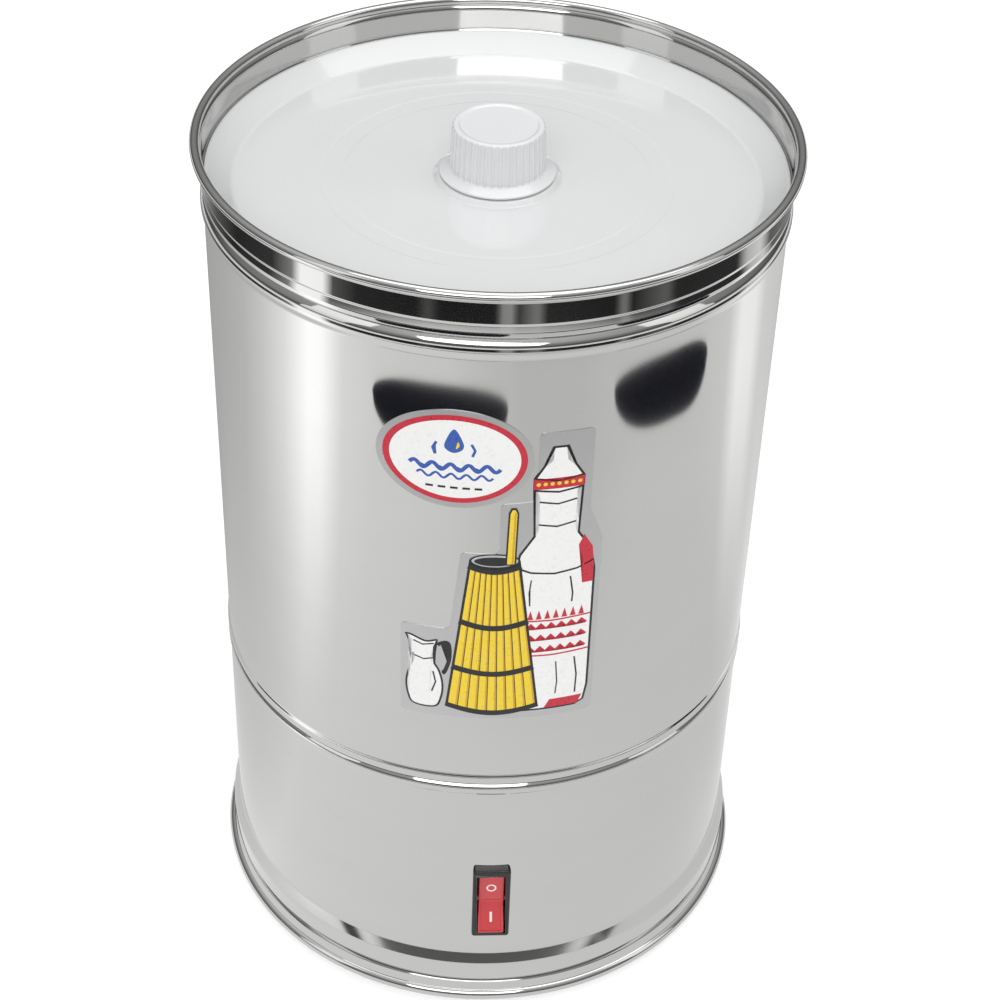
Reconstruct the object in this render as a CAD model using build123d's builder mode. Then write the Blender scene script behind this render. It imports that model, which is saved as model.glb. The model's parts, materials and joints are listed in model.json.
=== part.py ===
from build123d import *
from math import cos, radians, sin, sqrt, tan
import os

# Electric butter churn. Millimetres, +Z up. The origin is on the floor, on the churn's axis.
# The switch faces -Y and the cord gland faces +Y.

os.makedirs("parts", exist_ok=True)

# ---------------------------------------------------------------- driving dimensions
# Casings
casing_r = 106.2  # outer radius of both casings
sheet = 0.8  # steel sheet of the casings and the pot
lower_h = 124.2  # floor to the seam between the casings
upper_h = 204.3  # seam to the top of the upper casing
spigot_h = 11.8  # the lower casing's spigot, inside the upper casing
spigot_gap = 0.05
seam_gap = 0.1  # either side of the seam
seam_bead_h = 5.3  # half of the seam's bead
seam_bead_out = 0.35
curl_h = 8.0  # the curled top edge that carries the pot
curl_out = 1.1
curl_lip = 2.5  # how far the curl is turned in
flare_h = 28.2  # where the foot of the lower casing starts to flare
flare_out = 2.6  # widest part of the flare beyond the casing
base_bead_r = 2.6  # rolled edge at the bottom
base_bead_out = 5.5  # outermost line of the rolled edge beyond the casing
base_bead_z = 5.6

# Pot
pot_gap = 3.1  # between the casing's inside and the pot's wall
pot_floor_lift = 6.0  # pot floor above the seam
pot_corner_r = 14.0
pot_ledge_h = 5.1  # shoulder ring above the casing's curl
pot_neck_out = 0.6  # neck beyond the casing
pot_neck_h = 12.4  # shoulder ring to the middle of the rim bead
rim_bead_r = 1.8
rim_bead_out = 1.4  # the rim bead's centre beyond the neck

# Lid and its screw cap
lid_gap = 0.5  # between the lid's edge and the pot's neck
lid_wall = 2.2
lid_edge_h = 5.3  # edge above the ledge it rests on
lid_edge_bevel = 1.2
lid_cone_w = 9.8  # sloping margin inside the edge
lid_drop = 6.0  # how far the margin slopes down
lid_skirt_h = 10.5
lid_skirt_gap = 0.6  # between the skirt and the pot's wall
filler_bore_r = 12.0
filler_wall = 2.3  # to the root of its thread
filler_h = 14.6  # filler neck above its pad
pad_out = 8.7  # pad around the filler neck
pad_h = 1.6
cap_gap = 1.0  # between the filler neck and the cap's bore, which the thread fills
cap_head_gap = 0.6  # above the washer
cap_wall = 1.7
cap_top_t = 2.75
cap_lift_off_pad = 0.6
cap_flare_out = 4.2
cap_flare_h = 2.6
cap_taper = 2.0  # degrees
cap_ribs = 40
cap_rib_r = 0.5
washer_t = 1.5

# Switch, in the front of the lower casing
switch_z = 58.75
bezel_w = 15.0
bezel_h = 38.0
bezel_t = 2.0
bezel_rim = 2.1
switch_body_inset = 1.0  # switch body inside the bezel's edge
switch_body_d = 22.0
switch_hole_gap = 0.1
well_d = 12.0  # how deep the rocker's well is
rocker_gap = 0.3
rocker_tilt = 18.0  # travel, degrees
rocker_d = 6.0
rocker_pin_r = 1.2
rocker_pin_gap = 0.06
rocker_pin_in = 0.8
blade_w = 4.8
blade_t = 0.8
blade_l = 8.0
blade_pitch = 14.0

# Cord gland, in the back of the lower casing
gland_z = 40.0
gland_bore_r = 3.6
gland_thread_r = 6.1
gland_hole_gap = 0.1
gland_af = 17.0
gland_flange_t = 4.0
gland_nose_l = 2.6
gland_nut_t = 4.0
gland_l_in = 9.0

# Labels
label_t = 0.15
badge_w = 54.5
badge_h = 41.2
badge_z = 278.9
badge_angle = -9.5  # from the front, positive to +X
picture_z = 159.4
picture_corner_r = 2.0

# Base
plate_t = 1.2
plate_z = 6.0  # underside of the bottom plate
plate_gap = 1.3  # between the plate's edge and the rolled edge of the casing
vent_slots = 16
vent_w = 3.0
vent_l = 16.0
vent_r = 50.0
foot_count = 4
foot_r = 9.0
foot_pcd_r = 88.0
foot_bore_r = 4.3
foot_bore_h = 3.0
m4_r = 2.0
screw_gap = 0.25
m4_head_r = 3.8
m4_head_h = 2.2
m4_nut_af = 7.0
m4_nut_h = 3.2
bolt_past_nut = 1.5
screw_point = 2.5  # how far the sheet screws pass what they hold
bracket_angles = (0, 120, 240)
bracket_arc = 9.0  # degrees of the casing that a bracket covers
bracket_t = 1.5
bracket_top = 38.0
bracket_reach = 15.0
bracket_screw_in = 8.0

# Motor, hung from a plate in the lower casing
mount_plate_drop = 12.2  # seam to the top of the mounting plate
mount_plate_t = 2.0
mount_skirt_h = 14.0
mount_plate_gap = 0.05
mount_hole_r = 34.0
mount_corner_r = 3.0
damper_h = 6.0
damper_r = 8.0
lug_pcd_r = 58.0
lug_count = 4
lug_arm_w = 12.0
lug_t = 5.0
m5_r = 2.5
m5_af = 8.0
m5_head_h = 3.5
m5_nut_h = 4.0
stator_r = 45.0
stator_l = 35.0
air_gap = 0.5
rotor_r = 25.5
winding_in = 2.5  # winding inside face beyond the stator's bore
winding_w = 9.0
winding_over = 10.0  # winding past each end of the stator
winding_slots = 24
winding_slot_w = 2.6
bell_out = 2.0  # end bells beyond the stator
bell_wall = 3.0
upper_bell_h = 27.0
lower_bell_h = 15.0
tie_count = 4
tie_r = 1.9
tie_inset = 3.5  # tie bolts inside the stator's edge
tie_boss_r = 3.6
tie_af = 7.0
tie_nut_h = 3.0
bearing_r = 13.0
bearing_w = 8.0
race_t = 2.2
ball_r = 2.2
ball_count = 8
bearing_boss_t = 4.0
fan_r = 38.0
fan_h = 10.0
fan_gap = 3.0  # below the tie bolts
fan_blades = 8
fan_blade_t = 1.5
fan_disc_t = 1.5
fan_hub_t = 4.0

# Drive through the pot's floor
shaft_r = 5.0
shaft_gap = 0.05
shaft_hole_gap = 1.0  # where the shaft passes a wall freely
seal_r = 8.5
seal_h = 6.0
seal_in = 0.5  # how far the seal is pressed in below the flange
bush_h = 8.0
housing_wall = 2.0
housing_lip_t = 1.0  # the lip that holds the bush from below
housing_flange_r = 19.0
housing_flange_t = 3.0
housing_below = 12.0  # barrel under the pot's floor
housing_gap = 0.3
gasket_t = 1.0
housing_nut_af = 30.0
housing_nut_h = 5.0
cushion_r = 84.0
cushion_w = 7.0
spacer_t = 1.5
agitator_hub_r = 9.0
agitator_h = 34.0
agitator_r = 62.0
agitator_blades = 4
agitator_blade_t = 2.0
agitator_hole_r = 4.5
agitator_lift = 2.0  # blades above the hub's lower end
agitator_nut_af = 13.0
agitator_nut_h = 6.5
stud_r = 3.5
nut_crown_h = 3.0  # the rounded crown on the nut
nut_bore_end = 1.5

# Electrics on the bottom plate
capacitor_r = 15.0
capacitor_h = 52.0
capacitor_x = -78.0
capacitor_stud_r = 4.0
capacitor_nut_af = 13.0
capacitor_blade_gap = 12.0
block_w = 36.0
block_d = 16.0
block_h = 14.0
block_x = 30.0
block_y = 68.0
block_poles = 4
block_end_w = 12.0  # of the block's width, for its fixing holes
block_hole_in = 4.0
block_screw_r = 1.6
block_base_h = 4.9  # solid foot under the poles
block_pole_gap = 1.5
lead_r = 1.1

# ---------------------------------------------------------------- places that follow
casing_in_r = casing_r - sheet
casing_top_z = lower_h + upper_h
spigot_r = casing_in_r - spigot_gap
base_bead_c = casing_r + base_bead_out - base_bead_r

pot_r = casing_in_r - pot_gap
pot_in_r = pot_r - sheet
pot_floor_z = lower_h + pot_floor_lift
neck_r = casing_r + pot_neck_out
neck_in_r = neck_r - sheet
ledge_z = casing_top_z + sheet
neck_z = casing_top_z + pot_ledge_h
rim_z = neck_z + pot_neck_h

lid_r = neck_in_r - lid_gap
lid_edge_z = ledge_z + lid_edge_h
lid_plate_r = lid_r - lid_cone_w
lid_plate_z = lid_edge_z - lid_drop
skirt_r = pot_in_r - lid_skirt_gap
pad_z = lid_plate_z + pad_h
filler_r = filler_bore_r + filler_wall
filler_top_z = pad_z + filler_h
cap_bore_r = filler_r + cap_gap
cap_r = cap_bore_r + cap_wall
cap_z = pad_z + cap_lift_off_pad
cap_ceiling_z = filler_top_z + washer_t + cap_head_gap
cap_top_z = cap_ceiling_z + cap_top_t

plate_r = base_bead_c - base_bead_r - plate_gap
plate_top = plate_z + plate_t
mount_z = lower_h - mount_plate_drop
mount_under = mount_z - mount_plate_t
lug_z = mount_under - damper_h - lug_t
bell_r = stator_r + bell_out
upper_bell_top = lug_z + lug_t
stator_top = upper_bell_top - upper_bell_h
stator_z = stator_top - stator_l
lower_bell_z = stator_z - lower_bell_h
stator_in_r = rotor_r + air_gap
tie_pcd_r = stator_r - tie_inset
fan_top = lower_bell_z - tie_nut_h - fan_gap
fan_z = fan_top - fan_h
upper_bearing_z = upper_bell_top - bell_wall - bearing_w
lower_bearing_z = lower_bell_z + bell_wall

housing_r = seal_r + housing_wall
floor_top = pot_floor_z + sheet
housing_flange_z = floor_top + gasket_t
housing_top = housing_flange_z + housing_flange_t
housing_z = pot_floor_z - housing_below
agitator_z = housing_top + spacer_t
agitator_top = agitator_z + agitator_h

switch_face_y = -casing_r - bezel_t
well_w = bezel_w - 2 * bezel_rim
well_h = bezel_h - 2 * bezel_rim - 2.0
rocker_w = well_w - 2 * rocker_gap
rocker_h = well_h - 2 * rocker_gap - 2.0
rocker_axis_y = switch_face_y + 4.0


# ---------------------------------------------------------------- shared shapes
def sheet_face(outline, radii, wall):
    """Cut face of a turned sheet: its outer line, with corner radii, and the wall inside it."""
    with BuildSketch(Plane.XZ) as face:
        with BuildLine():
            FilletPolyline(*outline, radius=radii)
            offset(amount=wall, side=Side.LEFT)
        make_face()
    return face.sketch


def turned_face(outline):
    """Cut face of a turned part, from its closed outline of radius and height."""
    with BuildSketch(Plane.XZ) as face:
        with BuildLine():
            Polyline(*outline, close=True)
        make_face()
    return face.sketch


def ring_face(outer, inner, z):
    """Flat ring at height z, ready to be raised."""
    with BuildSketch(Plane.XY.offset(z)) as face:
        Circle(outer)
        Circle(inner, mode=Mode.SUBTRACT)
    return face.sketch


def hex_face(flats, bore, plane):
    """Face of a hexagon nut or head on a plane; a bore of 0 leaves it solid."""
    with BuildSketch(plane) as face:
        RegularPolygon(flats / 2, 6, major_radius=False)
        if bore:
            Circle(bore, mode=Mode.SUBTRACT)
    return face.sketch


def polar(radius, angle, z):
    """A horizontal plane whose origin is at a radius and an angle from +X."""
    turn = radians(angle)
    return Plane((radius * cos(turn), radius * sin(turn), z), x_dir=(cos(turn), sin(turn), 0))


def save(piece, name):
    """Label a finished piece and write it to its own file."""
    piece.part.label = name
    export_step(piece.part, f"parts/{name}.step")


# ---------------------------------------------------------------- casings
upper_outline = [
    (casing_r, lower_h + seam_gap),
    (casing_r + seam_bead_out, lower_h + 1.3),
    (casing_r + seam_bead_out, lower_h + seam_bead_h - 1.3),
    (casing_r, lower_h + seam_bead_h),
    (casing_r, casing_top_z - curl_h),
    (casing_r + curl_out, casing_top_z - curl_h * 0.7),
    (casing_r + curl_out, casing_top_z - curl_h * 0.3),
    (casing_r - curl_out, casing_top_z),
    (casing_r - curl_lip, casing_top_z),
]
with BuildPart() as upper_casing:
    revolve(sheet_face(upper_outline, [2, 2, 2, 3, 3, 3, 1.5], sheet), axis=Axis.Z)
save(upper_casing, "upper_casing")

flare_r = casing_r + flare_out
flare_outline = [
    (casing_r, flare_h),
    (flare_r - 0.4, flare_h * 0.66),
    (flare_r, flare_h * 0.52),
    (flare_r - 0.5, flare_h * 0.39),
    (base_bead_c, base_bead_z + base_bead_r - sheet / 2),
]
lower_outline = [
    (spigot_r, lower_h + spigot_h),
    (spigot_r, lower_h - seam_gap),
    (casing_r + seam_bead_out, lower_h - 1.5),
    (casing_r + seam_bead_out, lower_h - seam_bead_h + 1.3),
    (casing_r, lower_h - seam_bead_h),
] + flare_outline
lower_outline.reverse()
switch_plane = Plane((0, 0, switch_z), x_dir=(1, 0, 0), z_dir=(0, -1, 0))
gland_plane = Plane((0, 0, gland_z), x_dir=(-1, 0, 0), z_dir=(0, 1, 0))
switch_body_w = bezel_w - 2 * switch_body_inset
switch_body_h = bezel_h - 2 * switch_body_inset
with BuildPart() as lower_casing:
    revolve(sheet_face(lower_outline, [1.5, 3, 3, 8, 2, 2, 1.0, 1.0], sheet), axis=Axis.Z)
    with BuildSketch(Plane.XZ):
        with Locations((base_bead_c, base_bead_z)):
            Circle(base_bead_r)
    revolve(axis=Axis.Z)
    with BuildSketch(switch_plane):
        Rectangle(switch_body_w + 2 * switch_hole_gap, switch_body_h + 2 * switch_hole_gap)
    extrude(amount=casing_r + bezel_t, mode=Mode.SUBTRACT)
    with BuildSketch(gland_plane):
        Circle(gland_thread_r + gland_hole_gap)
    extrude(amount=casing_r + bezel_t, mode=Mode.SUBTRACT)
save(lower_casing, "lower_casing")

# ---------------------------------------------------------------- pot
pot_outline = [
    (housing_r + housing_gap, pot_floor_z),
    (pot_r, pot_floor_z),
    (pot_r, casing_top_z),
    (casing_r + pot_neck_out / 2, casing_top_z),
    (neck_r - 0.2, neck_z - pot_ledge_h / 2),
    (neck_r - 0.5, neck_z),
    (neck_r, neck_z + 1.0),
    (neck_r, rim_z - 2.4),
    (neck_r + rim_bead_out, rim_z - rim_bead_r + sheet / 2),
]
with BuildPart() as churn_pot:
    revolve(sheet_face(pot_outline, [pot_corner_r, 1.0, 1.5, 2, 1, 1, 2], sheet), axis=Axis.Z)
    with BuildSketch(Plane.XZ):
        with Locations((neck_r + rim_bead_out, rim_z)):
            Circle(rim_bead_r)
    revolve(axis=Axis.Z)
save(churn_pot, "churn_pot")

# ---------------------------------------------------------------- lid and cap
slope = lid_drop / lid_cone_w
lid_outline = [
    (filler_bore_r, lid_plate_z - lid_wall),
    (skirt_r - lid_wall, lid_plate_z - lid_wall),
    (skirt_r - lid_wall, lid_plate_z - lid_skirt_h),
    (skirt_r, lid_plate_z - lid_skirt_h),
    (skirt_r, lid_edge_z - (lid_r - skirt_r) * slope - lid_wall),
    (lid_r - lid_wall, lid_edge_z - 0.5 - lid_wall),
    (lid_r - lid_wall, ledge_z),
    (lid_r - lid_edge_bevel, ledge_z),
    (lid_r, ledge_z + lid_edge_bevel),
    (lid_r, lid_edge_z),
    (lid_r - 1.2, lid_edge_z),
    (lid_plate_r, lid_plate_z),
    (filler_r + pad_out, lid_plate_z),
    (filler_r + pad_out - pad_h, pad_z),
    (filler_r, pad_z),
    (filler_r, filler_top_z),
    (filler_bore_r, filler_top_z),
]
with BuildPart() as lid:
    revolve(turned_face(lid_outline), axis=Axis.Z)
    top_rim = lid.edges().filter_by(GeomType.CIRCLE).filter_by(lambda e: e.radius > lid_r - 0.1)
    fillet(top_rim.sort_by(Axis.Z)[-1], radius=0.8)
save(lid, "lid")

with BuildPart() as filler_cap:
    with BuildSketch(Plane.XY.offset(cap_z)):
        Circle(cap_r)
        with PolarLocations(cap_r, cap_ribs):
            Circle(cap_rib_r)
    extrude(amount=cap_top_z - cap_z, taper=cap_taper)
    cap_edges = filler_cap.faces().sort_by(Axis.Z)[-1].edges()
    fillet(cap_edges, radius=0.2)
    flare = [(cap_bore_r, cap_z), (cap_r + cap_flare_out, cap_z), (cap_r, cap_z + cap_flare_h)]
    revolve(turned_face(flare + [(cap_bore_r, cap_z + cap_flare_h)]), axis=Axis.Z)
    with BuildSketch(Plane.XY.offset(cap_z)):
        Circle(cap_bore_r)
    extrude(amount=cap_ceiling_z - cap_z, mode=Mode.SUBTRACT)
save(filler_cap, "filler_cap")

with BuildPart() as cap_washer:
    extrude(ring_face(cap_bore_r - cap_gap, filler_bore_r - 2, filler_top_z), amount=washer_t)
save(cap_washer, "cap_washer")

# ---------------------------------------------------------------- switch
with BuildPart() as switch_housing:
    with BuildSketch(switch_plane):
        RectangleRounded(bezel_w, bezel_h, 1.2)
    extrude(amount=casing_r + bezel_t)
    fillet(switch_housing.faces().sort_by(Axis.Y)[0].outer_wire().edges(), radius=0.8)
    Cylinder(casing_r, 4 * bezel_h + switch_z, mode=Mode.SUBTRACT)
    body_plane = Plane((0, -casing_r + switch_body_d, switch_z), x_dir=(1, 0, 0), z_dir=(0, -1, 0))
    with BuildSketch(body_plane):
        Rectangle(switch_body_w, switch_body_h)
    extrude(amount=switch_body_d + bezel_t / 2)
    well_plane = Plane((0, switch_face_y, switch_z), x_dir=(1, 0, 0), z_dir=(0, -1, 0))
    with BuildSketch(well_plane):
        Rectangle(well_w, well_h)
    extrude(amount=-well_d, mode=Mode.SUBTRACT)
    with BuildSketch(Plane((0, rocker_axis_y, switch_z), x_dir=(0, 1, 0), z_dir=(1, 0, 0))):
        Circle(rocker_pin_r + rocker_pin_gap)
    pin_hole = well_w / 2 + rocker_pin_in + 2 * rocker_pin_gap - rocker_gap
    extrude(amount=pin_hole, both=True, mode=Mode.SUBTRACT)
save(switch_housing, "switch_housing")

# The rocker's face has two flats; at rest (off) the upper one is upright and the lower one is out.
half = rocker_h / 2
lean = radians(rocker_tilt)
rocker_face = 2.2  # crease of the face in front of the pin
rocker_side = [
    (rocker_face, half),
    (rocker_face, 0),
    (rocker_face + half * sin(lean), -half * cos(lean)),
    (rocker_face + half * sin(lean) - 3.0, -half * cos(lean) - 0.3),
    (-rocker_d * 0.35, -half * 0.45),
    (-rocker_d * 0.35, half * 0.25),
    (rocker_face - 3.0, half - 0.2),
]
with BuildPart() as switch_rocker:
    rocker_origin = (-rocker_w / 2, rocker_axis_y, switch_z)
    with BuildSketch(Plane(rocker_origin, x_dir=(0, -1, 0), z_dir=(-1, 0, 0))):
        with BuildLine():
            Polyline(*rocker_side, close=True)
        make_face()
    extrude(amount=-rocker_w)
    long_edges = switch_rocker.edges().filter_by(Axis.X).sort_by(Axis.Y)
    fillet(long_edges[0], radius=0.5)
    with BuildSketch(Plane((0, rocker_axis_y, switch_z), x_dir=(0, 1, 0), z_dir=(1, 0, 0))):
        Circle(rocker_pin_r)
    extrude(amount=rocker_w / 2 + rocker_pin_in, both=True)
save(switch_rocker, "switch_rocker")

blade_plane = Plane((0, -casing_r + switch_body_d, switch_z), x_dir=(1, 0, 0), z_dir=(0, 1, 0))
with BuildPart() as switch_terminals:
    with BuildSketch(blade_plane):
        with GridLocations(0, blade_pitch, 1, 2):
            Rectangle(blade_w, blade_t)
    extrude(amount=blade_l)
save(switch_terminals, "switch_terminals")

# ---------------------------------------------------------------- cord gland
gland_seat_y = sqrt(casing_in_r**2 - gland_af**2 / 3)
with BuildPart() as cord_gland:
    extrude(hex_face(gland_af, 0, gland_plane), amount=casing_r + gland_flange_t)
    chamfer(cord_gland.faces().sort_by(Axis.Y)[-1].edges(), length=0.8)
    with BuildSketch(gland_plane.offset(casing_r + gland_flange_t)):
        Circle(gland_thread_r)
    extrude(amount=gland_nose_l)
    fillet(cord_gland.faces().sort_by(Axis.Y)[-1].edges(), radius=1.2)
    Cylinder(casing_r, 4 * gland_z, mode=Mode.SUBTRACT)
    with BuildSketch(gland_plane.offset(casing_in_r - gland_l_in)):
        Circle(gland_thread_r)
    extrude(amount=gland_l_in + sheet + gland_flange_t / 2)
    with BuildSketch(gland_plane):
        Circle(gland_bore_r)
    extrude(amount=2 * casing_r, mode=Mode.SUBTRACT)
save(cord_gland, "cord_gland")

with BuildPart() as cord_gland_nut:
    nut_plane = gland_plane.offset(gland_seat_y - gland_nut_t)
    extrude(hex_face(gland_af, gland_thread_r, nut_plane), amount=gland_nut_t)
save(cord_gland_nut, "cord_gland_nut")


# ---------------------------------------------------------------- labels
def label(outline_sketch):
    """A thin label bent round the casing, from its outline as seen from the front."""
    with BuildPart() as film:
        extrude(outline_sketch, amount=2 * casing_r)
        Cylinder(casing_r + label_t, 4 * casing_top_z, mode=Mode.INTERSECT)
        Cylinder(casing_r, 4 * casing_top_z, mode=Mode.SUBTRACT)
    return film


with BuildSketch(Plane.XZ) as badge_outline:
    with Locations((casing_r * sin(radians(badge_angle)), badge_z)):
        Ellipse(badge_w / 2 * cos(radians(badge_angle)), badge_h / 2)
badge_label = label(badge_outline.sketch)
save(badge_label, "badge_label")

# The picture's film is cut round a jug, a dash churn with its plunger and a milk can.
picture_corners = [
    (-36, 0),
    (35, 0),
    (35, 82),
    (30, 96),
    (30, 131),
    (11, 131),
    (11, 102),
    (-1.5, 101),
    (-1.5, 79),
    (-15, 79),
    (-18.5, 43),
    (-36, 43),
]
with BuildSketch(Plane.XZ) as picture_outline:
    with BuildLine():
        Polyline(*[(x, picture_z + h) for x, h in picture_corners], close=True)
    make_face()
    fillet(picture_outline.vertices(), radius=picture_corner_r)
picture_label = label(picture_outline.sketch)
save(picture_label, "picture_label")

# ---------------------------------------------------------------- base
foot_angles = [45 + 360 / foot_count * k for k in range(foot_count)]
bracket_r = casing_in_r - bracket_reach / 2
clear_m4 = m4_r + screw_gap
block_hole_x = block_w / 2 - block_hole_in
with BuildPart() as bottom_plate:
    with BuildSketch(Plane.XY.offset(plate_z)):
        Circle(plate_r)
    extrude(amount=plate_t)
    with BuildSketch(Plane.XY.offset(plate_z)):
        with PolarLocations(vent_r, vent_slots):
            SlotOverall(vent_l, vent_w)
        with PolarLocations(foot_pcd_r, foot_count, start_angle=45):
            Circle(clear_m4)
        with PolarLocations(casing_in_r - bracket_screw_in, len(bracket_angles)):
            Circle(clear_m4)
        with Locations((capacitor_x, 0)):
            Circle(capacitor_stud_r + screw_gap)
        with Locations((block_x, block_y)):
            with GridLocations(2 * block_hole_x, 0, 2, 1):
                Circle(clear_m4)
    extrude(amount=plate_t, mode=Mode.SUBTRACT)
save(bottom_plate, "bottom_plate")

with BuildPart() as feet:
    for angle in foot_angles:
        with BuildSketch(polar(foot_pcd_r, angle, plate_z)):
            Circle(foot_r)
            Circle(clear_m4, mode=Mode.SUBTRACT)
        extrude(amount=-plate_z, taper=4)
    with BuildSketch(Plane.XY):
        with PolarLocations(foot_pcd_r, foot_count, start_angle=45):
            Circle(foot_bore_r)
    extrude(amount=foot_bore_h, mode=Mode.SUBTRACT)
save(feet, "feet")

with BuildPart() as foot_screws:
    for angle in foot_angles:
        with BuildSketch(polar(foot_pcd_r, angle, foot_bore_h - m4_head_h)):
            Circle(m4_head_r)
        extrude(amount=m4_head_h)
        with BuildSketch(polar(foot_pcd_r, angle, foot_bore_h)):
            Circle(m4_r)
        extrude(amount=plate_top - foot_bore_h + m4_nut_h + bolt_past_nut)
save(foot_screws, "foot_screws")

with BuildPart() as foot_nuts:
    for angle in foot_angles:
        nut_plane = polar(foot_pcd_r, angle, plate_top)
        extrude(hex_face(m4_nut_af, m4_r, nut_plane), amount=m4_nut_h)
save(foot_nuts, "foot_nuts")

bracket_face = [
    (casing_in_r - bracket_reach, plate_top),
    (casing_in_r, plate_top),
    (casing_in_r, bracket_top),
    (casing_in_r - bracket_t, bracket_top),
    (casing_in_r - bracket_t, plate_top + bracket_t),
    (casing_in_r - bracket_reach, plate_top + bracket_t),
]
with BuildPart() as base_brackets:
    for angle in bracket_angles:
        arc = revolve(turned_face(bracket_face), axis=Axis.Z, revolution_arc=bracket_arc, mode=Mode.PRIVATE)
        add(arc.rotate(Axis.Z, angle - bracket_arc / 2))
    with BuildSketch(Plane.XY.offset(plate_top)):
        with PolarLocations(casing_in_r - bracket_screw_in, len(bracket_angles)):
            Circle(m4_r)
    extrude(amount=bracket_t, mode=Mode.SUBTRACT)
save(base_brackets, "base_brackets")

with BuildPart() as base_screws:
    for angle in bracket_angles:
        with BuildSketch(polar(casing_in_r - bracket_screw_in, angle, plate_z - m4_head_h)):
            Circle(m4_head_r)
        extrude(amount=m4_head_h)
        with BuildSketch(polar(casing_in_r - bracket_screw_in, angle, plate_z)):
            Circle(m4_r)
        extrude(amount=plate_t + bracket_t + screw_point)
save(base_screws, "base_screws")

# ---------------------------------------------------------------- motor mounting
skirt_outer = casing_in_r - mount_plate_gap
plate_outline = [(skirt_outer, mount_z - mount_skirt_h), (skirt_outer, mount_z), (mount_hole_r, mount_z)]
mount_bolts_at = PolarLocations(lug_pcd_r, lug_count, start_angle=45).locations
with BuildPart() as motor_mount_plate:
    revolve(sheet_face(plate_outline, [mount_corner_r], mount_plate_t), axis=Axis.Z)
    with BuildSketch(Plane.XY.offset(mount_under)):
        with Locations(*mount_bolts_at):
            Circle(m5_r + screw_gap)
    extrude(amount=mount_plate_t, mode=Mode.SUBTRACT)
save(motor_mount_plate, "motor_mount_plate")

with BuildPart() as mount_dampers:
    with BuildSketch(Plane.XY.offset(mount_under - damper_h)):
        with Locations(*mount_bolts_at):
            Circle(damper_r)
            Circle(m5_r + screw_gap, mode=Mode.SUBTRACT)
    extrude(amount=damper_h)
save(mount_dampers, "mount_dampers")

with BuildPart() as mount_bolts:
    with BuildSketch(Plane.XY.offset(mount_z)):
        with Locations(*mount_bolts_at):
            RegularPolygon(m5_af / 2, 6, major_radius=False)
    extrude(amount=m5_head_h)
    with BuildSketch(Plane.XY.offset(lug_z - m5_nut_h - bolt_past_nut)):
        with Locations(*mount_bolts_at):
            Circle(m5_r)
    extrude(amount=mount_z - lug_z + m5_nut_h + bolt_past_nut)
save(mount_bolts, "mount_bolts")

with BuildPart() as mount_nuts:
    with BuildSketch(Plane.XY.offset(lug_z - m5_nut_h)):
        with Locations(*mount_bolts_at):
            RegularPolygon(m5_af / 2, 6, major_radius=False)
            Circle(m5_r, mode=Mode.SUBTRACT)
    extrude(amount=m5_nut_h)
save(mount_nuts, "mount_nuts")

# ---------------------------------------------------------------- motor
tie_holes = PolarLocations(tie_pcd_r, tie_count).locations
with BuildPart() as stator_core:
    extrude(ring_face(stator_r, stator_in_r, stator_z), amount=stator_l)
    with BuildSketch(Plane.XY.offset(stator_z)):
        with Locations(*tie_holes):
            Circle(tie_r)
        winding_mid = stator_in_r + winding_in + winding_w / 2
        with PolarLocations(winding_mid, winding_slots):
            Rectangle(winding_w, winding_slot_w)
    extrude(amount=stator_l, mode=Mode.SUBTRACT)
save(stator_core, "stator_core")

with BuildPart() as stator_windings:
    with BuildSketch(Plane.XY.offset(stator_z)):
        with PolarLocations(winding_mid, winding_slots):
            Rectangle(winding_w, winding_slot_w)
    extrude(amount=stator_l)
    winding_out = winding_mid + winding_w / 2
    for start in (stator_z - winding_over, stator_top):
        extrude(ring_face(winding_out, winding_out - winding_w, start), amount=winding_over)
save(stator_windings, "stator_windings")


def bell_face(open_z, height, seat_z):
    """Cut face of an end bell: a cup that opens towards the stator, with a bearing seat inside."""
    way = 1 if height > 0 else -1
    closed = open_z + height
    inner = closed - way * bell_wall
    boss_r = bearing_r + bearing_boss_t
    return turned_face(
        [
            (bell_r, open_z),
            (bell_r, closed),
            (shaft_r + shaft_hole_gap, closed),
            (shaft_r + shaft_hole_gap, inner),
            (bearing_r, inner),
            (bearing_r, seat_z),
            (boss_r, seat_z),
            (boss_r, inner),
            (bell_r - bell_wall, inner),
            (bell_r - bell_wall, open_z),
        ]
    )


def tie_bosses(z, height):
    """Bosses for the tie bolts, inside an end bell."""
    with BuildSketch(Plane.XY.offset(z)) as bosses:
        with Locations(*tie_holes):
            Circle(tie_boss_r)
    return extrude(bosses.sketch, amount=height, mode=Mode.PRIVATE)


def drill_ties(z, height):
    """Holes for the tie bolts."""
    with BuildSketch(Plane.XY.offset(z)) as holes:
        with Locations(*tie_holes):
            Circle(tie_r)
    return extrude(holes.sketch, amount=height, mode=Mode.PRIVATE)


with BuildPart() as upper_end_bell:
    revolve(bell_face(stator_top, upper_bell_h, upper_bearing_z), axis=Axis.Z)
    add(tie_bosses(stator_top, upper_bell_h))
    with BuildSketch(Plane.XY.offset(lug_z)):
        with Locations(*mount_bolts_at):
            Circle(damper_r)
        for angle in (45, 135):
            Rectangle(2 * lug_pcd_r, lug_arm_w, rotation=angle)
        Circle(bell_r - 1, mode=Mode.SUBTRACT)
    extrude(amount=lug_t)
    with BuildSketch(Plane.XY.offset(lug_z)):
        with Locations(*mount_bolts_at):
            Circle(m5_r)
    extrude(amount=lug_t, mode=Mode.SUBTRACT)
    add(drill_ties(stator_top, upper_bell_h), mode=Mode.SUBTRACT)
save(upper_end_bell, "upper_end_bell")

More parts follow.
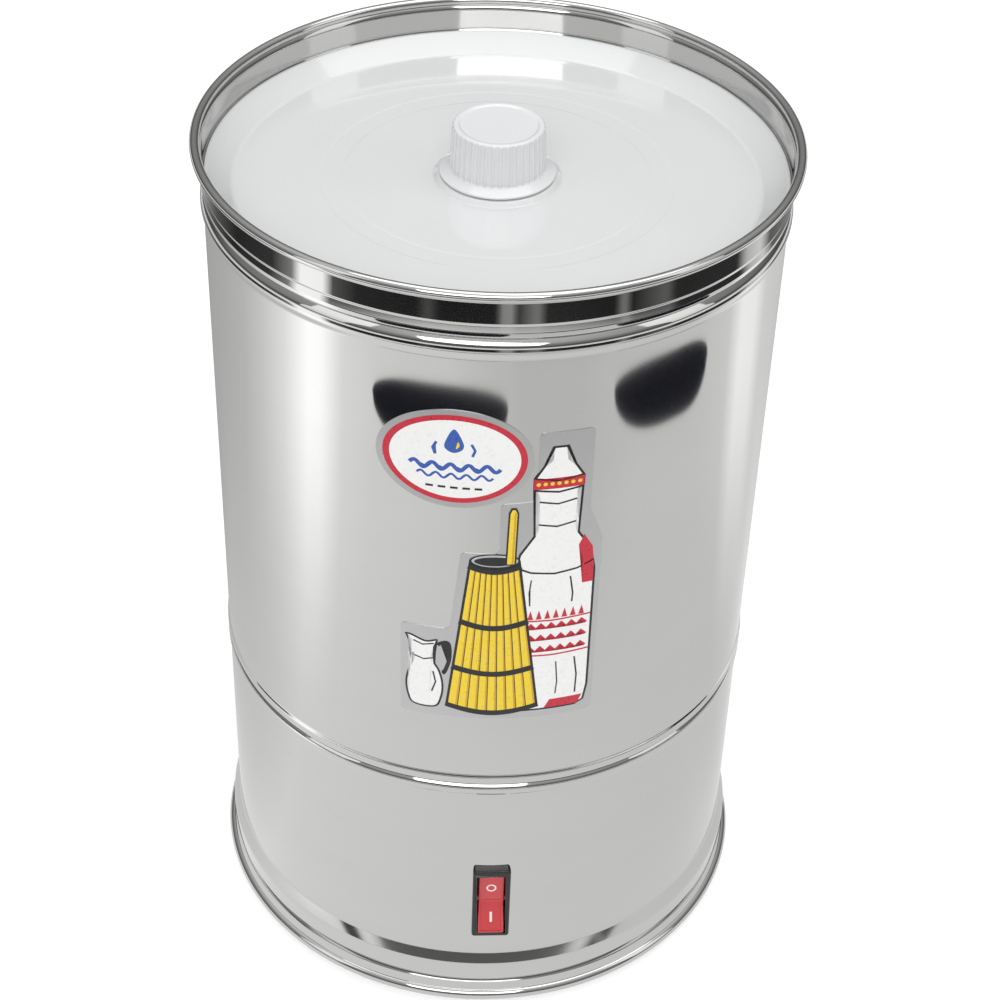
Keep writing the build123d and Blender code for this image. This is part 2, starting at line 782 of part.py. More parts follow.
with BuildPart() as lower_end_bell:
    revolve(bell_face(stator_z, -lower_bell_h, lower_bearing_z + bearing_w), axis=Axis.Z)
    add(tie_bosses(lower_bell_z, lower_bell_h))
    add(drill_ties(lower_bell_z, lower_bell_h), mode=Mode.SUBTRACT)
save(lower_end_bell, "lower_end_bell")

with BuildPart() as tie_bolts:
    with BuildSketch(Plane.XY.offset(lower_bell_z)):
        with Locations(*tie_holes):
            Circle(tie_r)
    extrude(amount=upper_bell_top - lower_bell_z + tie_nut_h)
    with BuildSketch(Plane.XY.offset(lower_bell_z - tie_nut_h)):
        with Locations(*tie_holes):
            RegularPolygon(tie_af / 2, 6, major_radius=False)
    extrude(amount=tie_nut_h)
save(tie_bolts, "tie_bolts")

with BuildPart() as tie_nuts:
    with BuildSketch(Plane.XY.offset(upper_bell_top)):
        with Locations(*tie_holes):
            RegularPolygon(tie_af / 2, 6, major_radius=False)
            Circle(tie_r, mode=Mode.SUBTRACT)
    extrude(amount=tie_nut_h)
save(tie_nuts, "tie_nuts")

race_gap = bearing_r - race_t - (shaft_r + race_t)
ball_pcd_r = shaft_r + race_t + race_gap / 2
for name, z in (("upper", upper_bearing_z), ("lower", lower_bearing_z)):
    ball_plane = Plane.XY.offset(z + bearing_w / 2)
    with BuildPart() as outer_race:
        extrude(ring_face(bearing_r, bearing_r - race_t, z), amount=bearing_w)
        with BuildSketch(Plane.XZ):
            with Locations((ball_pcd_r, z + bearing_w / 2)):
                Circle(ball_r + shaft_gap)
        revolve(axis=Axis.Z, mode=Mode.SUBTRACT)
    save(outer_race, f"{name}_bearing_outer_race")
    with BuildPart() as inner_race:
        extrude(ring_face(shaft_r + race_t, shaft_r, z), amount=bearing_w)
        with BuildSketch(Plane.XZ):
            with Locations((ball_pcd_r, z + bearing_w / 2)):
                Circle(ball_r + shaft_gap)
        revolve(axis=Axis.Z, mode=Mode.SUBTRACT)
    save(inner_race, f"{name}_bearing_inner_race")
    with BuildPart() as bearing_balls:
        with Locations(ball_plane):
            with PolarLocations(ball_pcd_r, ball_count):
                Sphere(ball_r)
    save(bearing_balls, f"{name}_bearing_balls")

with BuildPart() as rotor_core:
    extrude(ring_face(rotor_r, shaft_r, stator_z - 1), amount=stator_l + 2)
save(rotor_core, "rotor_core")

with BuildPart() as cooling_fan:
    extrude(ring_face(shaft_r + fan_hub_t, shaft_r, fan_z), amount=fan_h)
    extrude(ring_face(fan_r, shaft_r, fan_top - fan_disc_t), amount=fan_disc_t)
    blade_mid = (fan_r + shaft_r + 2.0) / 2
    with BuildSketch(Plane.XY.offset(fan_z)):
        with PolarLocations(blade_mid, fan_blades):
            Rectangle(fan_r - shaft_r - 2.0, fan_blade_t)
        Circle(shaft_r + 1, mode=Mode.SUBTRACT)
    extrude(amount=fan_h)
save(cooling_fan, "cooling_fan")

with BuildPart() as motor_shaft:
    with BuildSketch(Plane.XY.offset(fan_z)):
        Circle(shaft_r)
    extrude(amount=agitator_top - fan_z)
    with BuildSketch(Plane.XY.offset(agitator_top)):
        Circle(stud_r)
    extrude(amount=agitator_nut_h - nut_bore_end)
save(motor_shaft, "motor_shaft")

# ---------------------------------------------------------------- drive through the pot's floor
with BuildPart() as seal_housing:
    extrude(ring_face(housing_r, seal_r, housing_z), amount=housing_top - housing_z)
    extrude(ring_face(housing_flange_r, seal_r, housing_flange_z), amount=housing_flange_t)
    top_edge = seal_housing.edges().filter_by(GeomType.CIRCLE).sort_by(SortBy.RADIUS)[-2:]
    chamfer(top_edge.sort_by(Axis.Z)[-1], length=1.0)
    extrude(ring_face(seal_r, shaft_r + shaft_hole_gap, housing_z), amount=housing_lip_t)
save(seal_housing, "seal_housing")

with BuildPart() as shaft_bush:
    extrude(ring_face(seal_r, shaft_r + shaft_gap, housing_z + housing_lip_t), amount=bush_h)
save(shaft_bush, "shaft_bush")

with BuildPart() as shaft_seal:
    extrude(ring_face(seal_r, shaft_r + shaft_gap, housing_top - seal_h), amount=seal_h - seal_in)
save(shaft_seal, "shaft_seal")

with BuildPart() as housing_gasket:
    extrude(ring_face(housing_flange_r - 1, housing_r + housing_gap, floor_top), amount=gasket_t)
save(housing_gasket, "housing_gasket")

with BuildPart() as housing_nut:
    nut_plane = Plane.XY.offset(pot_floor_z - housing_nut_h)
    extrude(hex_face(housing_nut_af, housing_r, nut_plane), amount=housing_nut_h)
save(housing_nut, "housing_nut")

with BuildPart() as pot_cushion_ring:
    extrude(ring_face(cushion_r, cushion_r - cushion_w, mount_z), amount=pot_floor_z - mount_z)
save(pot_cushion_ring, "pot_cushion_ring")

with BuildPart() as agitator_spacer:
    extrude(ring_face(shaft_r + 2.0, shaft_r, housing_top + shaft_gap), amount=spacer_t - shaft_gap)
save(agitator_spacer, "agitator_spacer")

with BuildPart() as agitator:
    extrude(ring_face(agitator_hub_r, shaft_r, agitator_z), amount=agitator_h)
    chamfer(agitator.edges().filter_by(GeomType.CIRCLE).group_by(SortBy.RADIUS)[-1], length=1.0)
    blade_h = agitator_h - 2 * agitator_lift
    blade_l_out = agitator_r - agitator_hub_r + 1
    for k in range(agitator_blades):
        turn = radians(360 / agitator_blades * k + 45)
        radial = (cos(turn), sin(turn), 0)
        start = Vector(*radial) * (agitator_hub_r - 1)
        blade_plane = Plane(
            (start.X, start.Y, agitator_z + agitator_h / 2), x_dir=radial, z_dir=(-sin(turn), cos(turn), 0)
        )
        with BuildSketch(blade_plane):
            with Locations((blade_l_out / 2, 0)):
                RectangleRounded(blade_l_out, blade_h, 5)
            Rectangle(agitator_hub_r, blade_h)
            with Locations((blade_l_out * 0.58, 0)):
                with GridLocations(blade_l_out * 0.26, blade_h * 0.46, 3, 2):
                    Circle(agitator_hole_r, mode=Mode.SUBTRACT)
        extrude(amount=agitator_blade_t / 2, both=True)
    with BuildSketch(Plane.XY.offset(agitator_z)):
        Circle(shaft_r)
    extrude(amount=agitator_h, mode=Mode.SUBTRACT)
save(agitator, "agitator")

with BuildPart() as agitator_nut:
    extrude(hex_face(agitator_nut_af, 0, Plane.XY.offset(agitator_top)), amount=agitator_nut_h)
    with BuildSketch(Plane.XY.offset(agitator_top + agitator_nut_h)):
        Circle(agitator_nut_af / 2 - 0.5)
    extrude(amount=nut_crown_h)
    fillet(agitator_nut.faces().sort_by(Axis.Z)[-1].edges(), radius=2.5)
    with BuildSketch(Plane.XY.offset(agitator_top)):
        Circle(stud_r)
    extrude(amount=agitator_nut_h - nut_bore_end, mode=Mode.SUBTRACT)
save(agitator_nut, "agitator_nut")

# ---------------------------------------------------------------- electrics
with BuildPart() as run_capacitor:
    with BuildSketch(Plane.XY.offset(plate_top)):
        with Locations((capacitor_x, 0)):
            Circle(capacitor_r)
    extrude(amount=capacitor_h)
    fillet(run_capacitor.faces().sort_by(Axis.Z)[-1].edges(), radius=1.5)
    with BuildSketch(Plane.XY.offset(plate_top + capacitor_h)):
        with Locations((capacitor_x, 0)):
            with GridLocations(0, capacitor_blade_gap, 1, 2):
                Rectangle(blade_w, blade_t)
    extrude(amount=blade_l)
    with BuildSketch(Plane.XY.offset(plate_top)):
        with Locations((capacitor_x, 0)):
            Circle(capacitor_stud_r)
    extrude(amount=-plate_t - m4_nut_h)
save(run_capacitor, "run_capacitor")

with BuildPart() as capacitor_nut:
    nut_plane = Plane((capacitor_x, 0, plate_z - m4_nut_h))
    extrude(hex_face(capacitor_nut_af, capacitor_stud_r, nut_plane), amount=m4_nut_h)
save(capacitor_nut, "capacitor_nut")

pole_pitch = (block_w - block_end_w) / (block_poles - 1)
with BuildPart() as terminal_block:
    with BuildSketch(Plane.XY.offset(plate_top)):
        with Locations((block_x, block_y)):
            Rectangle(block_w, block_d)
    extrude(amount=block_base_h)
    with BuildSketch(Plane.XY.offset(plate_top + block_base_h)):
        with Locations((block_x, block_y)):
            with GridLocations(pole_pitch, 0, block_poles, 1):
                RectangleRounded(pole_pitch - block_pole_gap, block_d - 2, 1)
    extrude(amount=block_h - block_base_h)
    with BuildSketch(Plane.XY.offset(plate_top)):
        with Locations((block_x, block_y)):
            with GridLocations(2 * block_hole_x, 0, 2, 1):
                Circle(block_screw_r)
    extrude(amount=block_h, mode=Mode.SUBTRACT)
save(terminal_block, "terminal_block")

with BuildPart() as block_screws:
    with BuildSketch(Plane.XY.offset(plate_z - screw_point)):
        with Locations((block_x, block_y)):
            with GridLocations(2 * block_hole_x, 0, 2, 1):
                Circle(block_screw_r)
    extrude(amount=screw_point + plate_t + block_base_h)
save(block_screws, "block_screws")


def lead_corners(points):
    """Radii of a lead's bends, each as large as its two runs allow."""
    radii = []
    for before, corner, after in zip(points, points[1:], points[2:]):
        run_in = Vector(*corner) - Vector(*before)
        run_out = Vector(*after) - Vector(*corner)
        half_turn = radians(run_in.get_angle(run_out)) / 2
        radii.append(0.45 * min(run_in.length, run_out.length) / tan(half_turn))
    return radii


def lead(points):
    """An insulated lead along straight runs joined by bends."""
    with BuildPart() as wire:
        with BuildLine() as route:
            FilletPolyline(*points, radius=lead_corners(points))
        with BuildSketch(Plane(origin=route.line @ 0, z_dir=route.line % 0)):
            Circle(lead_r)
        sweep()
    return wire.part


blade_end_y = -casing_r + switch_body_d + blade_l
lead_z = plate_top + block_h - block_base_h
block_end = (pole_pitch * block_poles - block_pole_gap) / 2
upper_blade_z = switch_z + blade_pitch / 2
lower_blade_z = switch_z - blade_pitch / 2
with BuildPart() as switch_leads:
    upper_route = [
        (0, blade_end_y, upper_blade_z),
        (0, blade_end_y + 9, upper_blade_z),
        (24, -59, 50),
        (54, -40, 29),
        (66, -4, 18),
        (66, 30, 15),
        (62, 56, 16),
        (block_x + block_end + 6, block_y - 3.5, lead_z),
        (block_x + block_end, block_y - 3.5, lead_z),
    ]
    lower_route = [
        (0, blade_end_y, lower_blade_z),
        (0, blade_end_y + 7, lower_blade_z),
        (24, -65, 38),
        (58, -48, 21),
        (73, -6, 16),
        (73, 32, 17),
        (70, 60, 17),
        (block_x + block_end + 9, block_y + 3.5, lead_z),
        (block_x + block_end, block_y + 3.5, lead_z),
    ]
    add(lead(upper_route))
    add(lead(lower_route))
save(switch_leads, "switch_leads")

block_front = block_y - block_d / 2 + 1
with BuildPart() as motor_leads:
    for side, pole in ((0, -0.5), (1, 0.5)):
        start_x = block_x + pole * pole_pitch
        entry_x = 17.0 + 7.0 * side
        entry_y = sqrt((bell_r - 3 * lead_r) ** 2 - entry_x**2)
        motor_route = [
            (start_x, block_front, lead_z),
            (start_x, block_front - 7, lead_z),
            (entry_x, entry_y, lead_z + 1.5),
            (entry_x, entry_y, lower_bell_z),
        ]
        add(lead(motor_route))
save(motor_leads, "motor_leads")

capacitor_top = plate_top + capacitor_h + blade_l
with BuildPart() as capacitor_leads:
    near_route = [
        (capacitor_x, capacitor_blade_gap / 2, capacitor_top),
        (capacitor_x, capacitor_blade_gap / 2, capacitor_top + 7),
        (-66, 32, 58),
        (-46, 54, 34),
        (-18, 65, 20),
        (block_x - block_end, block_y - 3.5, lead_z),
    ]
    far_route = [
        (capacitor_x, -capacitor_blade_gap / 2, capacitor_top),
        (capacitor_x, -capacitor_blade_gap / 2, capacitor_top + 10),
        (-72, 26, 72),
        (-54, 56, 44),
        (-22, 74, 26),
        (block_x - block_end, block_y + 3.5, lead_z),
    ]
    add(lead(near_route))
    add(lead(far_route))
save(capacitor_leads, "capacitor_leads")
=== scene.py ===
import bmesh
import bpy
import json
from math import cos, pi, radians, sin, tan
from mathutils import Matrix, Vector


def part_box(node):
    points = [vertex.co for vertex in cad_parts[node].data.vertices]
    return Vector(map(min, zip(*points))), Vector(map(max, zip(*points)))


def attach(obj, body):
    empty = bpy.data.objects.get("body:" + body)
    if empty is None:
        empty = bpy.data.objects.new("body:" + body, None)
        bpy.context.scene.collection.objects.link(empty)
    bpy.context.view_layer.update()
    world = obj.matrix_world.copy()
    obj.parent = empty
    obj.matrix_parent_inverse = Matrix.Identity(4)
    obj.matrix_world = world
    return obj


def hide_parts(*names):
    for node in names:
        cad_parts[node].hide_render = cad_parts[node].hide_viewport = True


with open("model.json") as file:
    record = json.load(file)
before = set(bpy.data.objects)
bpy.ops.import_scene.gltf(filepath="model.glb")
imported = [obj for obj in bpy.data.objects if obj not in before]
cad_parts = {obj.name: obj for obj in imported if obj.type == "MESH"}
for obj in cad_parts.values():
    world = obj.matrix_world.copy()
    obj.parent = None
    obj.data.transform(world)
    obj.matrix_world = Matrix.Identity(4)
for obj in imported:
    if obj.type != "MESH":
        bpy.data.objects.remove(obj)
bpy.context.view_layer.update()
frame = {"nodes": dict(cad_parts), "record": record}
nodes = frame["nodes"]

MM = 0.001

# ---------------------------------------------------------------- sizes, from the frame
casing_low, casing_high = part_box("upper_casing")
base_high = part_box("lower_casing")[1]
pot_low, pot_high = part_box("churn_pot")
lid_low, lid_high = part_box("lid")
cap_low, cap_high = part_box("filler_cap")
housing_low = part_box("switch_housing")[0]

SHEET = 0.8 * MM
CURL_OUT = 1.1 * MM
CURL_H = 8.0 * MM
SEAM_GAP = 0.1 * MM
SEAM_OUT = 0.6 * MM
SEAM_H = 5.3 * MM
casing_r = casing_high.x - CURL_OUT
casing_top = casing_high.z
seam_z = casing_low.z - SEAM_GAP
spigot_top = base_high.z
rim_top = pot_high.z
pot_floor = pot_low.z


# ---------------------------------------------------------------- material tools
def fresh_material(name):
    """A new node material and its shader."""
    material = bpy.data.materials.new(name)
    material.use_nodes = True
    return material, material.node_tree, material.node_tree.nodes["Principled BSDF"]


def place_noise(tree, scale, detail=4.0, stretch=(1, 1, 1)):
    """Noise on the piece's own coordinates; stretch multiplies its frequency along each axis."""
    coords = tree.nodes.new("ShaderNodeTexCoord")
    mapping = tree.nodes.new("ShaderNodeMapping")
    mapping.inputs["Scale"].default_value = stretch
    noise = tree.nodes.new("ShaderNodeTexNoise")
    noise.inputs["Scale"].default_value = scale
    noise.inputs["Detail"].default_value = detail
    tree.links.new(coords.outputs["Object"], mapping.inputs["Vector"])
    tree.links.new(mapping.outputs["Vector"], noise.inputs["Vector"])
    return noise.outputs["Fac"]


def ramp(tree, value, stops):
    """A colour ramp on a value; stops are (position, colour or grey)."""
    node = tree.nodes.new("ShaderNodeValToRGB")
    elements = node.color_ramp.elements
    while len(elements) < len(stops):
        elements.new(0.5)
    for element, (position, colour) in zip(elements, stops):
        element.position = position
        if not hasattr(colour, "__len__"):
            colour = (colour,) * 3
        element.color = (*colour, 1)
    tree.links.new(value, node.inputs["Fac"])
    return node.outputs["Color"]


def spread(tree, value, low, high):
    """A value from 0.3 to 0.7, as noise gives, spread over low to high."""
    node = tree.nodes.new("ShaderNodeMapRange")
    node.inputs["From Min"].default_value = 0.3
    node.inputs["From Max"].default_value = 0.7
    node.inputs["To Min"].default_value = low
    node.inputs["To Max"].default_value = high
    tree.links.new(value, node.inputs["Value"])
    return node.outputs["Result"]


def bump(tree, shader, value, strength, distance):
    """Relief from a value; distance is its real height in metres. Reliefs add up."""
    node = tree.nodes.new("ShaderNodeBump")
    node.inputs["Strength"].default_value = strength
    node.inputs["Distance"].default_value = distance
    tree.links.new(value, node.inputs["Height"])
    before = shader.inputs["Normal"].links
    if before:
        tree.links.new(before[0].from_socket, node.inputs["Normal"])
    tree.links.new(node.outputs["Normal"], shader.inputs["Normal"])


def tinted(colour, factor):
    """A colour made lighter or darker by a factor."""
    return tuple(min(1.0, c * factor) for c in colour)


# ---------------------------------------------------------------- finishes
def polished_sheet():
    """Mirror-polished stainless sheet: long faint rolling marks, soft smears and slight waviness."""
    material, tree, shader = fresh_material("polished_sheet")
    shader.inputs["Metallic"].default_value = 1.0
    marks = place_noise(tree, 6.0, 4.0, (1, 1, 8))
    colour = ramp(tree, marks, [(0.25, (0.572, 0.570, 0.560)), (0.75, (0.590, 0.588, 0.578))])
    tree.links.new(colour, shader.inputs["Base Color"])
    smears = place_noise(tree, 14.0, 3.0)
    tree.links.new(spread(tree, smears, 0.035, 0.065), shader.inputs["Roughness"])
    bump(tree, shader, place_noise(tree, 6.0, 1.0), 0.1, 0.0003)
    bump(tree, shader, place_noise(tree, 300.0, 2.0), 0.012, 0.00001)
    return material


def metal(name, colour, roughness, grain=600.0, relief=0.00003, mottle=0.12, stretch=(1, 1, 1)):
    """A metal with grain in its colour, gloss and relief."""
    material, tree, shader = fresh_material(name)
    shader.inputs["Metallic"].default_value = 1.0
    cloud = place_noise(tree, 60.0, 5.0, stretch)
    stops = [(0.3, tinted(colour, 1 - mottle)), (0.7, tinted(colour, 1 + mottle))]
    tree.links.new(ramp(tree, cloud, stops), shader.inputs["Base Color"])
    fine = place_noise(tree, grain, 3.0, stretch)
    tree.links.new(spread(tree, fine, roughness * 0.8, roughness * 1.25), shader.inputs["Roughness"])
    bump(tree, shader, fine, 0.4, relief)
    return material


def moulding(name, colour, roughness, grain=900.0, relief=0.00002, mottle=0.03, glow=0.0, coat=0.0):
    """A moulded plastic or rubber: a fine skin texture and a slight unevenness of colour and gloss."""
    material, tree, shader = fresh_material(name)
    cloud = place_noise(tree, 25.0, 3.0)
    stops = [(0.3, tinted(colour, 1 - mottle)), (0.7, tinted(colour, 1 + mottle))]
    tree.links.new(ramp(tree, cloud, stops), shader.inputs["Base Color"])
    fine = place_noise(tree, grain, 2.0)
    tree.links.new(spread(tree, fine, roughness * 0.85, roughness * 1.2), shader.inputs["Roughness"])
    shader.inputs["Subsurface Weight"].default_value = glow
    shader.inputs["Coat Weight"].default_value = coat
    shader.inputs["Coat Roughness"].default_value = 0.045
    shader.inputs["Subsurface Radius"].default_value = (0.004, 0.004, 0.004)
    bump(tree, shader, fine, 0.3, relief)
    return material


def laminations():
    """Stacked and varnished core plates: fine level lines."""
    material, tree, shader = fresh_material("laminations")
    coords = tree.nodes.new("ShaderNodeTexCoord")
    wave = tree.nodes.new("ShaderNodeTexWave")
    wave.bands_direction = "Z"
    wave.inputs["Scale"].default_value = 320.0
    tree.links.new(coords.outputs["Object"], wave.inputs["Vector"])
    shade = ramp(tree, wave.outputs["Fac"], [(0.2, (0.06, 0.05, 0.045)), (0.8, (0.24, 0.22, 0.21))])
    tree.links.new(shade, shader.inputs["Base Color"])
    shader.inputs["Metallic"].default_value = 0.7
    tree.links.new(spread(tree, place_noise(tree, 90.0), 0.35, 0.5), shader.inputs["Roughness"])
    bump(tree, shader, wave.outputs["Fac"], 0.5, 0.0001)
    return material


def enamelled_wire():
    """Wound copper wire under enamel."""
    material, tree, shader = fresh_material("enamelled_wire")
    coords = tree.nodes.new("ShaderNodeTexCoord")
    wave = tree.nodes.new("ShaderNodeTexWave")
    wave.wave_type = "RINGS"
    wave.rings_direction = "Z"
    wave.inputs["Scale"].default_value = 250.0
    wave.inputs["Distortion"].default_value = 3.0
    tree.links.new(coords.outputs["Object"], wave.inputs["Vector"])
    shade = ramp(tree, wave.outputs["Fac"], [(0.1, (0.25, 0.07, 0.025)), (0.7, (0.72, 0.28, 0.11))])
    tree.links.new(shade, shader.inputs["Base Color"])
    shader.inputs["Metallic"].default_value = 0.8
    tree.links.new(spread(tree, place_noise(tree, 150.0), 0.22, 0.35), shader.inputs["Roughness"])
    bump(tree, shader, wave.outputs["Fac"], 0.6, 0.0003)
    return material


def clear_film():
    """The labels' clear film, dulled by its glue, over the steel."""
    material, tree, shader = fresh_material("clear_film")
    haze = place_noise(tree, 40.0, 3.0)
    tree.links.new(ramp(tree, haze, [(0.3, 0.52), (0.7, 0.55)]), shader.inputs["Base Color"])
    shader.inputs["Metallic"].default_value = 0.8
    tree.links.new(spread(tree, haze, 0.28, 0.33), shader.inputs["Roughness"])
    bump(tree, shader, haze, 0.1, 0.00001)
    return material


def ink(name, colour):
    """Printed ink under a thin gloss."""
    material, tree, shader = fresh_material(name)
    dots = place_noise(tree, 700.0, 2.0)
    stops = [(0.3, tinted(colour, 0.985)), (0.7, tinted(colour, 1.015))]
    tree.links.new(ramp(tree, dots, stops), shader.inputs["Base Color"])
    tree.links.new(spread(tree, dots, 0.26, 0.34), shader.inputs["Roughness"])
    bump(tree, shader, dots, 0.1, 0.00001)
    return material


steel = polished_sheet()
white_moulding = moulding("white_moulding", (0.79, 0.795, 0.80), 0.12, 200.0, 0.000008, 0.01, 0.05, 0.8)
cap_moulding = moulding("cap_moulding", (0.84, 0.848, 0.858), 0.16, 300.0, 0.00001, 0.01, 0.05, 0.6)
finishes = {
    "mirror_steel": steel,
    "white_plastic": white_moulding,
    "seal_rubber": moulding("rubber_black", (0.022, 0.022, 0.022), 0.6, 1500.0, 0.00006, 0.2),
    "cap_liner": moulding("rubber_pale", (0.55, 0.55, 0.52), 0.55, 1500.0, 0.00004, 0.06),
    "switch_black": moulding("switch_black", (0.009, 0.009, 0.010), 0.25, 1600.0, 0.00003, 0.1),
    "rocker_red": moulding("rocker_red", (0.60, 0.016, 0.024), 0.16, 700.0, 0.00001, 0.05, 0.1, 0.7),
    "contact_brass": metal("contact_brass", (0.75, 0.58, 0.28), 0.3),
    "gland_nylon": moulding("gland_nylon", (0.03, 0.03, 0.031), 0.42, 1200.0, 0.00004, 0.12),
    "label_film": clear_film(),
    "zinc_steel": metal("zinc_steel", (0.58, 0.6, 0.62), 0.34, 700.0, 0.00004, 0.18),
    "core_steel": laminations(),
    "copper": enamelled_wire(),
    "bell_alloy": metal("bell_alloy", (0.66, 0.67, 0.68), 0.45, 900.0, 0.00012, 0.08),
    "bearing_steel": metal("bearing_steel", (0.62, 0.62, 0.63), 0.14, 500.0, 0.00001, 0.05, (1, 1, 12)),
    "fan_plastic": moulding("fan_plastic", (0.035, 0.036, 0.038), 0.5, 1300.0, 0.00005, 0.12),
    "bronze": metal("bronze", (0.6, 0.4, 0.2), 0.4, 1500.0, 0.00006, 0.12),
    "can_plastic": moulding("can_plastic", (0.72, 0.72, 0.68), 0.3, 800.0, 0.00002, 0.04),
    "block_plastic": moulding("block_plastic", (0.78, 0.75, 0.66), 0.45, 900.0, 0.00003, 0.05),
    "lead_skin": moulding("lead_skin", (0.05, 0.11, 0.3), 0.4, 900.0, 0.00002, 0.08),
}
inks = {
    "white": ink("ink_white", (0.86, 0.86, 0.85)),
    "red": ink("ink_red", (0.56, 0.012, 0.035)),
    "black": ink("ink_black", (0.012, 0.012, 0.014)),
    "yellow": ink("ink_yellow", (0.86, 0.62, 0.02)),
    "amber": ink("ink_amber", (0.62, 0.36, 0.02)),
    "blue": ink("ink_blue", (0.03, 0.10, 0.42)),
    "grey": ink("ink_grey", (0.45, 0.46, 0.47)),
}
for part in frame["record"]["subparts"]:
    node = nodes[part["node"]]
    node.data.materials.clear()
    node.data.materials.append(finishes[part["material_slot"]])


# ---------------------------------------------------------------- mesh tools
SMOOTH_BELOW = radians(38)


def finished(bm, name, body, materials, stands_for=()):
    """The bmesh as a closed, smooth piece of the object, riding on a body."""
    bmesh.ops.remove_doubles(bm, verts=bm.verts, dist=1e-6)
    for edge in bm.edges:
        edge.smooth = edge.calc_face_angle(0) < SMOOTH_BELOW
    for face in bm.faces:
        face.smooth = True
    mesh = bpy.data.meshes.new(name)
    bm.to_mesh(mesh)
    bm.free()
    for material in materials:
        mesh.materials.append(material)
    piece = bpy.data.objects.new(name, mesh)
    bpy.context.scene.collection.objects.link(piece)
    weighted = piece.modifiers.new("even_shading", "WEIGHTED_NORMAL")
    weighted.keep_sharp = True
    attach(piece, body)
    if stands_for:
        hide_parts(*stands_for)
    return piece


def add_turned(bm, outline, steps=240, closed=True):
    """Spin an outline of (radius, height, corner radius) about Z and round its corners."""
    made = [bm.verts.new((r, 0, z)) for r, z, _ in outline]
    pairs = list(zip(made, made[1:])) + ([(made[-1], made[0])] if closed else [])
    lines = [bm.edges.new(pair) for pair in pairs]
    before = set(bm.faces)
    bmesh.ops.spin(
        bm, geom=made + lines, cent=(0, 0, 0), axis=(0, 0, 1), angle=2 * pi, steps=steps, use_merge=True
    )
    new_verts = list({v for f in bm.faces if f not in before for v in f.verts})
    bmesh.ops.remove_doubles(bm, verts=new_verts, dist=1e-7)
    count = len(outline)
    for k, (r, z, rounding) in enumerate(outline):
        if rounding:
            corner = Vector((r, z))
            run_in = corner - Vector(outline[k - 1][:2])
            run_out = Vector(outline[(k + 1) % count][:2]) - corner
            turn = run_in.angle(run_out)
            ring = [e for e in bm.edges if all(on_ring(v, r, z) for v in e.verts)]
            segments = max(3, round(turn / radians(11)))
            bmesh.ops.bevel(
                bm,
                geom=ring,
                offset=rounding * tan(turn / 2),
                offset_type="OFFSET",
                affect="EDGES",
                segments=segments,
                profile=0.5,
                material=-1,
            )


def on_ring(vert, radius, height):
    """Whether a point lies on a level ring about Z."""
    return abs(vert.co.z - height) < 1e-6 and abs(Vector(vert.co[:2]).length - radius) < 1e-6


def add_bead(bm, radius, height, tube, steps=240):
    """A rolled edge: a ring of round section."""
    place = Matrix.Translation((radius, 0, height)) @ Matrix.Rotation(pi / 2, 4, "X")
    circle = bmesh.ops.create_circle(bm, segments=28, radius=tube, matrix=place)["verts"]
    lines = list({e for v in circle for e in v.link_edges})
    bmesh.ops.spin(
        bm, geom=circle + lines, cent=(0, 0, 0), axis=(0, 0, 1), angle=2 * pi, steps=steps, use_merge=True
    )


def cut_opening(bm, side, corners):
    """Cut an opening in a wall's front (side -1) or back (side 1); corners (x, z) go clockwise."""
    low_z, high_z = min(z for _, z in corners), max(z for _, z in corners)
    reach = max(abs(x) for x, _ in corners) + 3 * MM
    sides = []
    for (x0, z0), (x1, z1) in zip(corners, corners[1:] + corners[:1]):
        sides.append((Vector((x0, 0, z0)), Vector((z1 - z0, 0, x0 - x1)).normalized()))

    def near():
        return [
            f
            for f in bm.faces
            if f.calc_center_median().y * side > 0
            and abs(f.calc_center_median().x) < reach
            and min(v.co.z for v in f.verts) < high_z
            and max(v.co.z for v in f.verts) > low_z
        ]

    for origin, across in sides:
        faces = near()
        edges = list({e for f in faces for e in f.edges})
        parts = faces + edges + list({v for f in faces for v in f.verts})
        bmesh.ops.bisect_plane(bm, geom=parts, plane_co=origin, plane_no=across, dist=1e-7)
    inside = []
    for face in near():
        centre = face.calc_center_median()
        if all((Vector((centre.x, 0, centre.z)) - origin).dot(across) > 0 for origin, across in sides):
            inside.append(face)
    bmesh.ops.delete(bm, geom=inside, context="FACES")


def sheet_shell(outline, wall, openings=(), steps=240):
    """A turned sheet from its outer line, bottom to top: the wall is inside the line."""
    bm = bmesh.new()
    add_turned(bm, outline, steps, closed=False)
    for side, corners in openings:
        cut_opening(bm, side, corners)
    bmesh.ops.recalc_face_normals(bm, faces=bm.faces)
    widest = max(bm.faces, key=lambda f: f.calc_area())
    centre = widest.calc_center_median()
    if widest.normal.dot(Vector((centre.x, centre.y, 0))) < 0:
        bmesh.ops.reverse_faces(bm, faces=bm.faces)
    bmesh.ops.solidify(bm, geom=bm.faces[:], thickness=wall)
    return bm


# ---------------------------------------------------------------- casings
upper_line = [
    (casing_r, casing_low.z, 0),
    (casing_r + SEAM_OUT, seam_z + 1.3 * MM, 2 * MM),
    (casing_r + SEAM_OUT, seam_z + SEAM_H - 1.3 * MM, 2 * MM),
    (casing_r, seam_z + SEAM_H, 2 * MM),
    (casing_r, casing_top - CURL_H, 3 * MM),
    (casing_r + CURL_OUT, casing_top - CURL_H * 0.7, 3 * MM),
    (casing_r + CURL_OUT, casing_top - CURL_H * 0.3, 3 * MM),
    (casing_r - CURL_OUT, casing_top, 1.5 * MM),
    (casing_r - 2.5 * MM, casing_top, 0),
]
upper = sheet_shell(upper_line, SHEET)
finished(upper, "drum_upper_shell", "casing", [steel], ["upper_casing"])

